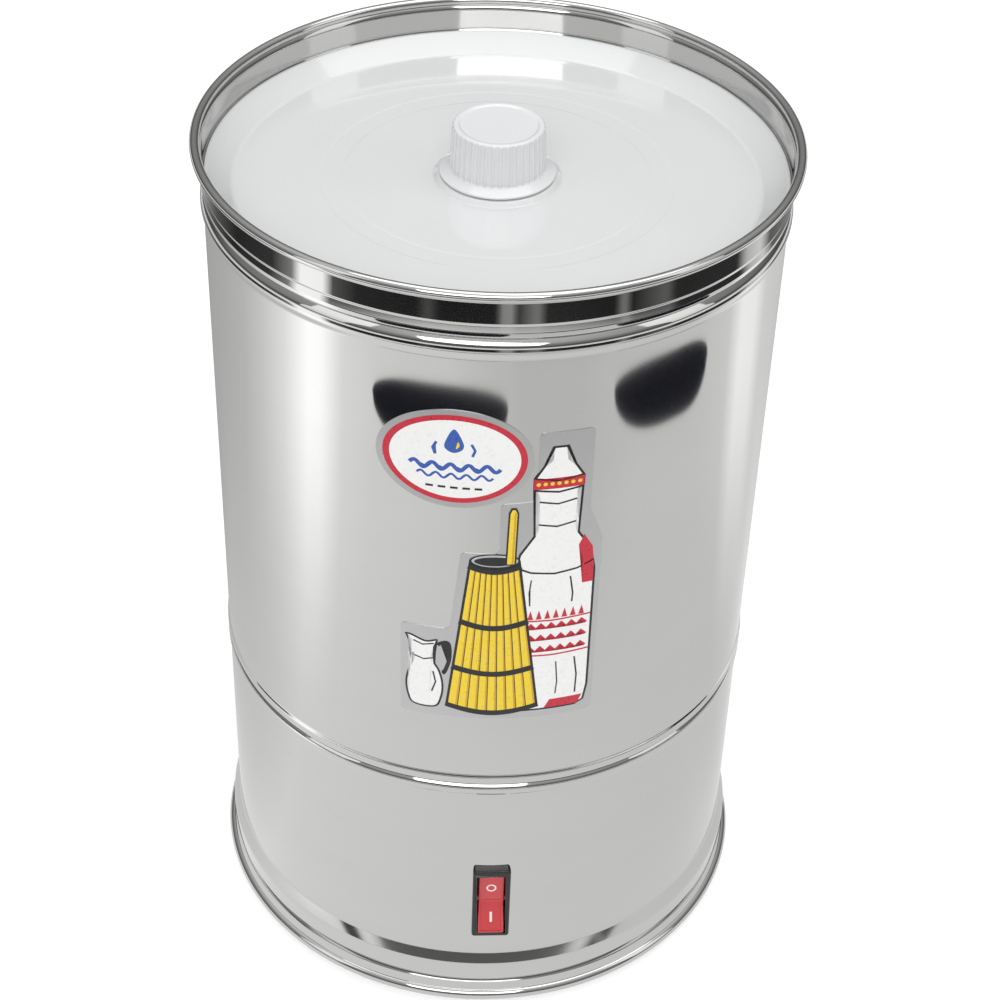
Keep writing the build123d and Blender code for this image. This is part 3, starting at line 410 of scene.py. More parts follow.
flare_line = [
    (casing_r + 3.3 * MM, 7.9 * MM, 0),
    (casing_r + 1.9 * MM, 11.0 * MM, 1.2 * MM),
    (casing_r + 2.7 * MM, 15.5 * MM, 3 * MM),
    (casing_r + 2.75 * MM, 22.7 * MM, 4 * MM),
    (casing_r, 28.2 * MM, 4 * MM),
    (casing_r, seam_z - SEAM_H, 2 * MM),
    (casing_r + SEAM_OUT, seam_z - 4.0 * MM, 2 * MM),
    (casing_r + SEAM_OUT, seam_z - 1.5 * MM, 2 * MM),
    (casing_r - SHEET - 0.05 * MM, seam_z - 0.1 * MM, 1.2 * MM),
    (casing_r - SHEET - 0.05 * MM, spigot_top, 0),
]
switch_hole = [(-6.6, 40.65), (-6.6, 76.85), (6.6, 76.85), (6.6, 40.65)]
gland_hole = [(6.2 * sin(2 * pi * k / 24), 40 + 6.2 * cos(2 * pi * k / 24)) for k in range(24)]
wall_openings = [
    (side, [(x * MM, z * MM) for x, z in hole]) for side, hole in ((-1, switch_hole), (1, gland_hole))
]
lower = sheet_shell(flare_line, SHEET, wall_openings)
add_bead(lower, base_high.x - 2.6 * MM, 5.6 * MM, 2.6 * MM)
finished(lower, "drum_lower_shell", "casing", [steel], ["lower_casing"])

# ---------------------------------------------------------------- pot
neck_r = 106.8 * MM
pot_line = [
    (10.8 * MM, pot_floor, 0),
    (102.3 * MM, pot_floor, 14 * MM),
    (102.3 * MM, casing_top, 0.9 * MM),
    (neck_r - 0.3 * MM, casing_top, 1.3 * MM),
    (neck_r - 0.2 * MM, casing_top + 2.55 * MM, 2 * MM),
    (neck_r - 0.5 * MM, casing_top + 5.1 * MM, 1 * MM),
    (neck_r, casing_top + 6.1 * MM, 1 * MM),
    (neck_r, rim_top - 4.2 * MM, 2 * MM),
    (neck_r + 1.4 * MM, rim_top - 3.2 * MM, 0),
]
pot = sheet_shell(pot_line, SHEET)
add_bead(pot, neck_r + 1.4 * MM, rim_top - 1.8 * MM, 1.8 * MM)
finished(pot, "pot_with_rim", "casing", [steel], ["churn_pot"])

# ---------------------------------------------------------------- lid with its threaded neck
PITCH = 3.0 * MM
lid_edge = lid_high.z - 10.2 * MM
lid_plate = lid_edge - 6.0 * MM
LID_WALL = 2.2 * MM
lid_r = lid_high.x
slope = 6.0 / 9.8
neck_top = lid_high.z
lid_line = [
    (12.0 * MM, lid_plate - LID_WALL, 0.4 * MM),
    (98.7 * MM, lid_plate - LID_WALL, 1.0 * MM),
    (98.7 * MM, lid_low.z, 0.5 * MM),
    (100.9 * MM, lid_low.z, 0.5 * MM),
    (100.9 * MM, lid_edge - (lid_r - 100.9 * MM) * slope - LID_WALL, 0.5 * MM),
    (lid_r - LID_WALL, lid_edge - 0.5 * MM - LID_WALL, 0.5 * MM),
    (lid_r - LID_WALL, casing_top + SHEET, 0.3 * MM),
    (lid_r - 1.2 * MM, casing_top + SHEET, 0.3 * MM),
    (lid_r, casing_top + SHEET + 1.2 * MM, 0.6 * MM),
    (lid_r, lid_edge, 0.6 * MM),
    (lid_r - 1.3 * MM, lid_edge, 0.7 * MM),
    (lid_r - 9.8 * MM, lid_plate, 3.5 * MM),
    (64.4 * MM, lid_plate, 0.8 * MM),
    (63.8 * MM, lid_plate - 0.08 * MM, 0.8 * MM),
    (56.6 * MM, lid_plate - 0.08 * MM, 0.8 * MM),
    (56.0 * MM, lid_plate, 0.8 * MM),
    (23.4 * MM, lid_plate, 1.0 * MM),
    (21.6 * MM, lid_plate + 1.6 * MM, 0.9 * MM),
    (14.3 * MM, lid_plate + 1.6 * MM, 0.6 * MM),
    (14.3 * MM, neck_top, 0.5 * MM),
    (12.0 * MM, neck_top, 0.5 * MM),
]


def add_thread(bm, root, crest, base_z, turns, wide, narrow, phase=0.0):
    """A screw ridge wound on a root radius, standing in or out to its crest radius."""
    steps = int(turns * 72)
    section = [(root, -wide / 2), (crest, -narrow / 2), (crest, narrow / 2), (root, wide / 2)]
    verts = [bm.verts.new((r * cos(phase), r * sin(phase), base_z + z)) for r, z in section]
    face = bm.faces.new(verts)
    bmesh.ops.spin(
        bm,
        geom=[face],
        cent=(0, 0, 0),
        axis=(0, 0, 1),
        dvec=(0, 0, PITCH / 72),
        angle=2 * pi * turns,
        steps=steps,
        use_duplicate=False,
    )


lid = bmesh.new()
add_turned(lid, lid_line)
bmesh.ops.recalc_face_normals(lid, faces=lid.faces)
add_thread(lid, 14.2 * MM, 15.0 * MM, lid_plate + 6.0 * MM, 2.25, 1.5 * MM, 0.6 * MM)
finished(lid, "lid_with_threaded_neck", "lid", [white_moulding], ["lid"])

# ---------------------------------------------------------------- screw cap
CAP_RIBS = 40
CAP_BORE = 15.3 * MM
cap_top = cap_high.z
cap_base = cap_low.z
wall_foot = (17.1 * MM, cap_base + 2.6 * MM)
wall_head = (16.45 * MM, cap_top)
cap_line = [
    (0, cap_top - 2.75 * MM, 0),
    (CAP_BORE, cap_top - 2.75 * MM, 0.5 * MM),
    (CAP_BORE, cap_base, 0.3 * MM),
    (cap_high.x, cap_base, 0.25 * MM),
    (cap_high.x, cap_base + 0.7 * MM, 0.3 * MM),
    (wall_foot[0] + 0.4 * MM, wall_foot[1], 1.4 * MM),
    (wall_foot[0], wall_foot[1] + 0.5 * MM, 0),
    (wall_head[0] + 0.05 * MM, wall_head[1] - 1.4 * MM, 0),
    (wall_head[0], wall_head[1], 0.75 * MM),
    (14.6 * MM, cap_top, 0.9 * MM),
    (13.9 * MM, cap_top - 0.45 * MM, 0.9 * MM),
    (0, cap_top - 0.6 * MM, 0),
]
cap = bmesh.new()
add_turned(cap, cap_line, steps=480, closed=False)
bmesh.ops.recalc_face_normals(cap, faces=cap.faces)
for vert in cap.verts:
    radius = Vector(vert.co[:2]).length
    if radius > 15.9 * MM and vert.co.z > wall_foot[1]:
        angle = Vector(vert.co[:2]).angle_signed(Vector((1, 0)), 0)
        wave = max(0.0, cos(CAP_RIBS * angle)) ** 0.7
        fade = min(1.0, (cap_top - vert.co.z) / (1.2 * MM))
        height = 0.42 * MM * wave * fade
        vert.co.x *= 1 + height / radius
        vert.co.y *= 1 + height / radius
add_thread(cap, 15.35 * MM, 14.55 * MM, cap_base + 4.0 * MM + PITCH / 2, 2.25, 1.4 * MM, 0.6 * MM)
finished(cap, "screw_cap_ribbed", "cap", [cap_moulding], ["filler_cap"])

# ---------------------------------------------------------------- switch
SWITCH_Z = 58.75 * MM
face_y = housing_low.y


def add_block(bm, width, depth, height, centre):
    """A rectangular block; gives back its vertices."""
    size = Matrix.Diagonal((width, depth, height, 1))
    return bmesh.ops.create_cube(bm, size=1, matrix=Matrix.Translation(centre) @ size)["verts"]


def facing(verts, direction):
    """The face of a block that looks in a direction."""
    faces = {f for v in verts for f in v.link_faces}
    return max(faces, key=lambda f: f.normal.dot(Vector(direction)))


def round_edges(bm, edges, radius, segments=4):
    """Round some edges of a block."""
    bmesh.ops.bevel(
        bm, geom=edges, offset=radius, affect="EDGES", segments=segments, profile=0.5, material=-1
    )


housing = bmesh.new()
bezel = add_block(housing, 15 * MM, 2.7 * MM, 38 * MM, (0, face_y + 1.35 * MM, SWITCH_Z))
housing.normal_update()
front, back = facing(bezel, (0, -1, 0)), facing(bezel, (0, 1, 0))
rims = []
for face in (front, back):
    bmesh.ops.inset_region(housing, faces=[face], thickness=2.1 * MM)
    for vert in face.verts:
        vert.co.z += -1.0 * MM if vert.co.z > SWITCH_Z else 1.0 * MM
    rims.append(face)
bmesh.ops.bridge_loops(housing, edges=[e for f in rims for e in f.edges])
bmesh.ops.delete(housing, geom=rims, context="FACES_ONLY")
housing.normal_update()
uprights = [
    e
    for e in housing.edges
    if all(abs(abs(v.co.x) - 7.5 * MM) < 1e-6 for v in e.verts)
    and all(abs(abs(v.co.z - SWITCH_Z) - 19 * MM) < 1e-6 for v in e.verts)
    and abs(e.verts[0].co.y - e.verts[1].co.y) > MM
]
round_edges(housing, uprights, 1.2 * MM)
outline = [
    e
    for e in housing.edges
    if all(abs(v.co.y - face_y) < 1e-6 for v in e.verts)
    and e.calc_face_angle(0) > radians(60)
    and (
        max(abs(v.co.x) for v in e.verts) > 6 * MM
        or max(abs(v.co.z - SWITCH_Z) for v in e.verts) > 17 * MM
    )
]
round_edges(housing, outline, 0.7 * MM)
mouth = [
    e
    for e in housing.edges
    if all(abs(v.co.y - face_y) < 1e-6 and abs(v.co.x) < 5.5 * MM for v in e.verts)
    and all(abs(v.co.z - SWITCH_Z) < 16 * MM for v in e.verts)
    and e.calc_face_angle(0) > radians(60)
]
round_edges(housing, mouth, 0.35 * MM, 3)
body = add_block(housing, 13 * MM, 21.3 * MM, 36 * MM, (0, face_y + 13.35 * MM, SWITCH_Z))
housing.normal_update()
face = facing(body, (0, -1, 0))
bmesh.ops.inset_region(housing, faces=[face], thickness=1.1 * MM)
for vert in face.verts:
    vert.co.z += -1.0 * MM if vert.co.z > SWITCH_Z else 1.0 * MM
well = bmesh.ops.extrude_face_region(housing, geom=[face])["geom"]
bmesh.ops.delete(housing, geom=[face], context="FACES_ONLY")
bmesh.ops.translate(
    housing, verts=[g for g in well if isinstance(g, bmesh.types.BMVert)], vec=(0, 9.3 * MM, 0)
)
for side in (-1, 1):
    clip = add_block(housing, 0.8 * MM, 7 * MM, 5 * MM, (side * 6.7 * MM, face_y + 8 * MM, SWITCH_Z))
    housing.normal_update()
    round_edges(housing, list({e for v in clip for e in v.link_edges}), 0.2 * MM, 2)
bmesh.ops.recalc_face_normals(housing, faces=housing.faces)
finished(housing, "switch_frame", "casing", [finishes["switch_black"]], ["switch_housing"])

# The rocker: a side outline drawn across, its two flats sunk a little inside a border.
PIN_Y = face_y + 4.0 * MM
HALF = 14.6 * MM
LEAN = radians(18)
crease = PIN_Y - 2.2 * MM
foot_y, foot_z = crease - HALF * sin(LEAN), SWITCH_Z - HALF * cos(LEAN)
side_line = [
    (crease, SWITCH_Z + HALF),
    (crease, SWITCH_Z),
    (foot_y, foot_z),
    (foot_y + 3.0 * MM, foot_z - 0.3 * MM),
    (PIN_Y + 2.1 * MM, SWITCH_Z - HALF * 0.45),
    (PIN_Y + 2.1 * MM, SWITCH_Z + HALF * 0.25),
    (PIN_Y + 0.8 * MM, SWITCH_Z + HALF - 0.2 * MM),
]
ROCKER_W = 10.2 * MM
rocker = bmesh.new()
side_face = rocker.faces.new([rocker.verts.new((-ROCKER_W / 2, y, z)) for y, z in side_line])
grown = bmesh.ops.extrude_face_region(rocker, geom=[side_face])["geom"]
far_side = [g for g in grown if isinstance(g, bmesh.types.BMVert)]
bmesh.ops.translate(rocker, verts=far_side, vec=(ROCKER_W, 0, 0))
bmesh.ops.recalc_face_normals(rocker, faces=rocker.faces)
flats = [f for f in rocker.faces if f.normal.y < -0.9 and abs(f.normal.x) < 0.1]
crease_edges = [e for e in rocker.edges if all(f in flats for f in e.link_faces)]
sharp_edges = [e for e in rocker.edges if e not in crease_edges and e.calc_face_angle(0) > 0.5]
round_edges(rocker, sharp_edges, 0.45 * MM, 4)
flats = sorted((f for f in rocker.faces if f.normal.y < -0.9), key=lambda f: -f.calc_area())[:2]
for flat in flats:
    bmesh.ops.inset_individual(rocker, faces=[flat], thickness=0.75 * MM, depth=0)
    bmesh.ops.inset_individual(rocker, faces=[flat], thickness=0.16 * MM, depth=-0.22 * MM)
bmesh.ops.create_cone(
    rocker,
    cap_ends=True,
    segments=32,
    radius1=1.2 * MM,
    radius2=1.2 * MM,
    depth=ROCKER_W + 1.6 * MM,
    matrix=Matrix.Translation((0, PIN_Y, SWITCH_Z)) @ Matrix.Rotation(pi / 2, 4, "Y"),
)
finished(rocker, "switch_button", "rocker", [finishes["rocker_red"]], ["switch_rocker"])

marks = bmesh.new()
ring = bmesh.ops.create_circle(marks, cap_ends=True, segments=48, radius=2.0 * MM)["verts"]
ring_face = ring[0].link_faces[0]
bmesh.ops.inset_region(marks, faces=[ring_face], thickness=0.62 * MM, use_boundary=True)
bmesh.ops.delete(marks, geom=[ring_face], context="FACES_ONLY")
stand_up = Matrix.Rotation(pi / 2, 4, "X")
place = Matrix.Translation((0, crease + 0.17 * MM, SWITCH_Z + HALF * 0.52)) @ stand_up
bmesh.ops.transform(marks, matrix=place, verts=marks.verts)
bar = bmesh.ops.create_grid(marks, x_segments=1, y_segments=1, size=1)["verts"]
bmesh.ops.transform(marks, matrix=Matrix.Diagonal((0.48 * MM, 2.3 * MM, 1, 1)), verts=bar)
down = HALF * 0.5
place = (
    Matrix.Translation((0, crease - down * sin(LEAN) + 0.17 * MM, SWITCH_Z - down * cos(LEAN)))
    @ Matrix.Rotation(-LEAN, 4, "X")
    @ stand_up
)
bmesh.ops.transform(marks, matrix=place, verts=bar)
bmesh.ops.solidify(marks, geom=marks.faces[:], thickness=-0.04 * MM)
finished(marks, "switch_marks", "rocker", [inks["white"]])

# ---------------------------------------------------------------- printed labels
FILM_T = 0.15 * MM
INK_T = 0.012 * MM
STRIP = 1.0 * MM


def curve_through(points, per_span=6):
    """A smooth closed outline through the points."""
    count = len(points)
    outline = []
    for k in range(count):
        a, b, c, d = (Vector(points[(k + j) % count]) for j in (-1, 0, 1, 2))
        for step in range(per_span):
            t = step / per_span
            bend = (2 * a - 5 * b + 4 * c - d) * t**2 + (3 * b - a - 3 * c + d) * t**3
            outline.append(0.5 * (2 * b + (c - a) * t + bend))
    return [(p.x, p.y) for p in outline]


def inset_outline(points, amount):
    """An outline moved inwards by an amount, corner by corner."""
    count = len(points)
    turn = sum(points[k - 1][0] * points[k][1] - points[k][0] * points[k - 1][1] for k in range(count))
    inner = []
    for k in range(count):
        before, here, after = (Vector(points[(k + j) % count]) for j in (-1, 0, 1))
        run_in, run_out = (here - before).normalized(), (after - here).normalized()
        side_in, side_out = Vector((-run_in.y, run_in.x)), Vector((-run_out.y, run_out.x))
        middle = side_in + side_out
        if middle.length < 1e-6:
            middle = side_in.copy()
        middle.normalize()
        reach = amount / max(0.5, middle.dot(side_in))
        moved = here + middle * (reach if turn > 0 else -reach)
        inner.append((moved.x, moved.y))
    return inner


def ellipse(centre_x, centre_z, half_w, half_h, start=0, end=360, count=64):
    """Points of an ellipse or an arc of one, counterclockwise from its right-hand end."""
    steps = count if end - start >= 360 else count + 1
    angles = [radians(start + (end - start) * k / count) for k in range(steps)]
    return [(centre_x + half_w * cos(a), centre_z + half_h * sin(a)) for a in angles]


def stroke(points, width):
    """A band of one width along a line of points."""
    left, right = [], []
    for k, point in enumerate(points):
        here = Vector(point)
        run = (Vector(points[min(k + 1, len(points) - 1)]) - Vector(points[max(k - 1, 0)])).normalized()
        out = Vector((-run.y, run.x)) * width / 2
        left.append(tuple(here + out))
        right.append(tuple(here - out))
    return left + right[::-1]


def print_shapes(name, shapes, colour, layer):
    """Flat shapes in millimetres (x, z), printed on the film that goes round the drum."""
    bm = bmesh.new()
    for shape in shapes:
        bm.faces.new([bm.verts.new((x * MM, 0, z * MM)) for x, z in shape])
    bmesh.ops.triangulate(bm, faces=bm.faces[:])
    low = min(v.co.x for v in bm.verts)
    high = max(v.co.x for v in bm.verts)
    for k in range(int(low / STRIP), int(high / STRIP) + 1):
        parts = bm.faces[:] + bm.edges[:] + bm.verts[:]
        bmesh.ops.bisect_plane(bm, geom=parts, plane_co=(k * STRIP, 0, 0), plane_no=(1, 0, 0), dist=1e-8)
    radius = casing_r + FILM_T + layer * 2 * INK_T
    for vert in bm.verts:
        vert.co.y = -((radius**2 - vert.co.x**2) ** 0.5)
    for face in bm.faces:
        face.normal_update()
        if face.normal.y > 0:
            face.normal_flip()
    bmesh.ops.solidify(bm, geom=bm.faces[:], thickness=-INK_T)
    return finished(bm, name, "casing", [inks[colour]])


# The badge: a red ring round white, a blue drop and waves.
BADGE = (-17.5, 278.9, 26.87, 20.6)
cx, cz, half_w, half_h = BADGE
print_shapes("badge_border", [ellipse(cx, cz, half_w - 2.2, half_h - 2.2, count=96)], "red", 1)
print_shapes("badge_ground", [ellipse(cx, cz, half_w - 4.5, half_h - 4.3, count=96)], "white", 2)


def wave(start_x, end_x, base_z, rise, waves):
    """Points along a level row of waves."""
    count = 12 * waves
    return [
        (start_x + (end_x - start_x) * k / count, base_z + rise * sin(2 * pi * waves * k / count))
        for k in range(count + 1)
    ]


drop_line = [(-0.5, 291.6), (2.6, 286.3), (2.4, 283.3), (-0.6, 281.7), (-3.5, 283.4), (-3.4, 286.4)]
drop = curve_through([(cx + x, z) for x, z in drop_line])
splash = [
    stroke([(cx - 6.4, 285.8), (cx - 7.7, 283.2), (cx - 6.8, 280.6)], 1.0),
    stroke([(cx + 5.4, 285.8), (cx + 6.7, 283.2), (cx + 5.8, 280.6)], 1.0),
]
waves_blue = [
    stroke(wave(cx - 15.5, cx + 15.5, 275.6, 1.3, 5), 1.5),
    stroke(wave(cx - 13.0, cx + 13.0, 271.8, 1.0, 5), 0.9),
]
print_shapes("badge_drop", [drop] + splash + waves_blue, "blue", 3)
glint_line = [(0.9, 286.4), (1.4, 284.8), (0.2, 283.4), (0.4, 285.0)]
print_shapes("badge_glint", [curve_through([(cx + x, z) for x, z in glint_line])], "yellow", 4)
dashes = [stroke([(cx - 10 + 4.2 * k, 266.9), (cx - 7.4 + 4.2 * k, 266.9)], 0.9) for k in range(5)]
print_shapes("badge_dashes", dashes, "black", 3)

# The picture: a jug, a staved dash churn with its plunger and a milk can.
jug = curve_through(
    [
        (-31.2, 163.4), (-23.2, 163.4), (-20.8, 168.5), (-20.3, 175.0), (-21.6, 181.5), (-24.0, 186.5),
        (-24.2, 190.5), (-22.6, 196.6), (-27.0, 195.6), (-32.2, 197.6), (-34.4, 197.2), (-32.0, 193.6),
        (-31.0, 188.5), (-32.8, 182.0), (-34.2, 175.0), (-33.6, 168.0),
    ]
)
handle_loop = curve_through(
    [(-22.8, 194.0), (-18.9, 195.6), (-18.3, 188.0), (-20.3, 180.6), (-19.4, 188.0), (-20.4, 192.8)]
)
HANDLE_POINTS = 21
jug_handle = stroke(handle_loop[:HANDLE_POINTS], 1.5)
can_right = [
    (28.6, 162.6), (32.0, 164.6), (33.2, 172.0), (33.2, 228.0), (31.4, 238.0), (26.6, 246.0), (25.2, 250.5),
    (25.2, 261.5), (27.4, 267.0), (27.4, 271.0), (24.2, 276.4), (21.0, 279.6), (21.2, 284.6),
]
can = can_right + [(2 * 18.4 - x, z) for x, z in can_right[::-1]]
can_inner = inset_outline(can, 0.85)


def barrel_x(side, z):
    """The barrel's side at a height: -1 left, 1 right."""
    share = (z - 164.0) / (235.0 - 164.0)
    return -2.4 + side * 17.3 + share * (-0.55 - side * 8.2)


def sag(z, half):
    """An arc across the barrel that sags in the middle."""
    left, right = barrel_x(-1, z), barrel_x(1, z)
    return [(left + (right - left) * k / 20, z - half * sin(pi * k / 20)) for k in range(21)]


barrel_base, barrel_top = sag(164.5, 3.4), sag(235.0, 2.2)
barrel = barrel_base + barrel_top[::-1]
mouth_x = (barrel_x(-1, 235.0) + barrel_x(1, 235.0)) / 2
mouth_w = (barrel_x(1, 235.0) - barrel_x(-1, 235.0)) / 2
STAVES = 9


def stave(k, low, high, gap):
    """One stave between two heights, narrowed by a gap at each side."""
    corners = []
    for z, sag_by in ((low, 3.0), (high, 2.2)):
        left, right = barrel_x(-1, z) + 0.8, barrel_x(1, z) - 0.8
        for edge in (k, k + 1):
            x = left + (right - left) * edge / STAVES
            share = edge / STAVES
            inward = gap if edge == k else -gap
            corners.append((x + inward, z - sag_by * sin(pi * share)))
    return [corners[0], corners[1], corners[3], corners[2]]


hoops = [165.8, 184.6, 206.8, 232.6]
bands = [(hoops[k] + 0.6, hoops[k + 1] - 0.6) for k in range(len(hoops) - 1)]
staves = [stave(k, low, high, 0.16) for low, high in bands for k in range(STAVES)]
shades = []
for low, high in bands:
    for k in range(STAVES):
        a, b, c, d = stave(k, low, high, 0.16)
        shades.append([(a[0] + (b[0] - a[0]) * 0.78, b[1]), b, c, (d[0] + (c[0] - d[0]) * 0.78, c[1])])
hoop_bands = [stroke(sag(z, 2.9), 2.5) for z in hoops[1:3]]
hoop_bands += [stroke(sag(hoops[0], 3.2), 2.0), stroke(sag(hoops[3], 2.4), 2.2)]
stick = [(1.3, 234.0), (3.9, 234.0), (4.3, 256.5), (3.6, 258.2), (2.6, 258.2), (1.9, 256.5)]
print_shapes("picture_can_line", [can, jug, jug_handle], "black", 1)
print_shapes("picture_white", [can_inner, inset_outline(jug, 0.75)], "white", 2)

hem_z = (193.0, 198.5, 204.0)
zigzags = [
    stroke([(5.2 + 1.85 * k, z + (1.1 if k % 2 else -1.1)) for k in range(15)], 0.9) for z in hem_z
]
hem_lines = [stroke([(4.8, z), (18.4, z - 0.6), (32.4, z)], 0.7) for z in (190.2, 206.9)]
teeth = [[(6.2 + 3.1 * k, 207.3), (8.4 + 3.1 * k, 207.3), (7.3 + 3.1 * k, 211.6)] for k in range(8)]
lid_band = [(9.6, 266.4), (27.2, 266.4), (27.2, 271.0), (9.6, 271.0)]
handle = [
    (28.4, 244.2), (31.7, 238.2), (32.5, 230.0), (32.5, 222.0), (28.6, 222.0), (28.6, 232.0), (26.6, 240.0),
]
foot = [(17.0, 163.4), (29.6, 163.4), (31.2, 167.4), (19.0, 167.4)]
print_shapes("picture_red", zigzags + hem_lines + teeth + [lid_band, handle, foot], "red", 3)
folds = [
    stroke([(11.8, 251.0), (18.4, 249.6), (25.0, 251.0)], 0.7),
    stroke([(11.8, 261.0), (18.4, 259.6), (25.0, 261.0)], 0.7),
    stroke([(9.6, 266.2), (18.4, 264.8), (27.2, 266.2)], 0.8),
    stroke([(9.6, 271.2), (18.4, 269.8), (27.2, 271.2)], 0.8),
    stroke([(4.6, 232.0), (10.0, 229.4), (18.4, 228.2), (26.6, 229.4), (32.2, 232.0)], 0.8),
    stroke([(27.4, 187.0), (28.6, 178.0), (28.4, 169.0)], 0.6),
    stroke([(24.2, 226.0), (25.4, 218.0), (25.2, 214.0)], 0.6),
    stroke([(10.2, 226.0), (9.6, 220.0), (10.0, 214.0)], 0.5),
    stroke([(20.6, 186.0), (21.4, 176.0), (21.0, 170.0)], 0.5),
    stroke([(-31.0, 187.6), (-27.6, 186.4), (-24.2, 187.6)], 0.6),
    stroke([(-24.6, 171.0), (-23.2, 176.0), (-24.2, 181.0)], 0.6),
    stroke([(-31.4, 194.8), (-28.0, 193.4), (-24.0, 194.6)], 0.6),
]
print_shapes("picture_folds", folds, "black", 3)
beads = [ellipse(11.2 + 2.4 * k, 268.6, 0.75, 0.75, count=16) for k in range(7)]
print_shapes("picture_beads", beads, "yellow", 4)
print_shapes("picture_barrel_line", [barrel, ellipse(mouth_x, 235.0, mouth_w, 3.4)], "black", 4)
print_shapes("picture_staves", staves, "yellow", 5)
print_shapes("picture_stave_shade", shades, "amber", 6)
print_shapes("picture_hoops", hoop_bands, "black", 7)
print_shapes("picture_mouth_rim", [ellipse(mouth_x, 235.3, mouth_w - 0.9, 2.7)], "grey", 8)
mouth = ellipse(mouth_x, 235.1, mouth_w - 1.8, 2.0)
print_shapes("picture_mouth", [mouth, inset_outline(stick, -0.6)], "black", 9)
print_shapes("picture_stick", [stick], "yellow", 10)
print_shapes("picture_stick_shade", [stroke([(3.3, 234.0), (3.7, 257.0)], 0.7)], "amber", 11)


# ---------------------------------------------------------------- studio
def glow_material(name, colour, strength):
    """An even glow of one colour."""
    material = bpy.data.materials.new(name)
    material.use_nodes = True
    tree = material.node_tree
    tree.nodes.clear()
    emission = tree.nodes.new("ShaderNodeEmission")
    emission.inputs["Color"].default_value = (*colour, 1)
    emission.inputs["Strength"].default_value = strength
    output = tree.nodes.new("ShaderNodeOutputMaterial")
    tree.links.new(emission.outputs["Emission"], output.inputs["Surface"])
    return material


floor_bm = bmesh.new()
bmesh.ops.create_circle(floor_bm, cap_ends=True, segments=128, radius=6.0)
floor_mesh = bpy.data.meshes.new("floor")
floor_bm.to_mesh(floor_mesh)
floor_bm.free()
floor_material, floor_tree, floor_shader = fresh_material("floor_paper")
paper = place_noise(floor_tree, 3.0)
paper_colour = ramp(floor_tree, paper, [(0.3, 0.86), (0.7, 0.89)])
floor_tree.links.new(paper_colour, floor_shader.inputs["Base Color"])
floor_shader.inputs["Roughness"].default_value = 0.9
floor_shader.inputs["Emission Color"].default_value = (1, 1, 1, 1)
floor_shader.inputs["Emission Strength"].default_value = 0.36
floor_mesh.materials.append(floor_material)
floor = bpy.data.objects.new("floor", floor_mesh)
bpy.context.scene.collection.objects.link(floor)


def card(name, bm, material):
    """A card that only shows where it is mirrored."""
    mesh = bpy.data.meshes.new(name)
    bm.to_mesh(mesh)
    bm.free()
    mesh.materials.append(material)
    sheet = bpy.data.objects.new(name, mesh)
    bpy.context.scene.collection.objects.link(sheet)
    for ray in ("camera", "diffuse", "shadow", "transmission"):
        setattr(sheet, f"visible_{ray}", False)
    return sheet


def table_glow():
    """A glowing card in place of the lit table, seen only in the steel's reflections: its painted
    brightness by the angle from the front, near the drum and further out.
    """
    material = bpy.data.materials.new("table_glow")
    material.use_nodes = True
    tree = material.node_tree
    tree.nodes.clear()
    coords = tree.nodes.new("ShaderNodeTexCoord")
    split = tree.nodes.new("ShaderNodeSeparateXYZ")
    tree.links.new(coords.outputs["Object"], split.inputs["Vector"])

    def work(operation, *values):
        node = tree.nodes.new("ShaderNodeMath")
        node.operation = operation
        for socket, value in zip(node.inputs, values):
            if isinstance(value, (int, float)):
                socket.default_value = value
            else:
                tree.links.new(value, socket)
        return node.outputs["Value"]

    x, y = split.outputs["X"], split.outputs["Y"]
    turn = work("ARCTAN2", x, work("MULTIPLY", y, -1.0))
    around = work("ADD", work("MULTIPLY", turn, 1 / (2 * pi)), 0.5)
    distance = work("SQRT", work("ADD", work("MULTIPLY", x, x), work("MULTIPLY", y, y)))

    def by_angle(stops):
        shares = [((angle + 180) / 360, value / TABLE_STRENGTH) for angle, value in stops]
        return ramp(tree, around, shares)

    near = by_angle(TABLE_NEAR)
    far = by_angle(TABLE_FAR)
    ring = by_angle(TABLE_RING)
    last = near
    for colour, start, end in ((far, 0.2, 0.5), (ring, 0.574, 0.584), (far, 0.88, 1.0)):
        share = tree.nodes.new("ShaderNodeMapRange")
        share.interpolation_type = "SMOOTHSTEP"
        share.inputs["From Min"].default_value = start
        share.inputs["From Max"].default_value = end
        tree.links.new(distance, share.inputs["Value"])
        mixer = tree.nodes.new("ShaderNodeMix")
        mixer.data_type = "RGBA"
        tree.links.new(share.outputs["Result"], mixer.inputs["Factor"])
        tree.links.new(last, mixer.inputs["A"])
        tree.links.new(colour, mixer.inputs["B"])
        last = mixer.outputs["Result"]
    emission = tree.nodes.new("ShaderNodeEmission")
    emission.inputs["Strength"].default_value = TABLE_STRENGTH
    tree.links.new(last, emission.inputs["Color"])
    output = tree.nodes.new("ShaderNodeOutputMaterial")
    tree.links.new(emission.outputs["Emission"], output.inputs["Surface"])
    return material


# The table card's brightness is painted reflection: glow with bright and dark patches by angle and
# distance, which only the steel mirrors; the lamps do not light it.
TABLE_STRENGTH = 2.0
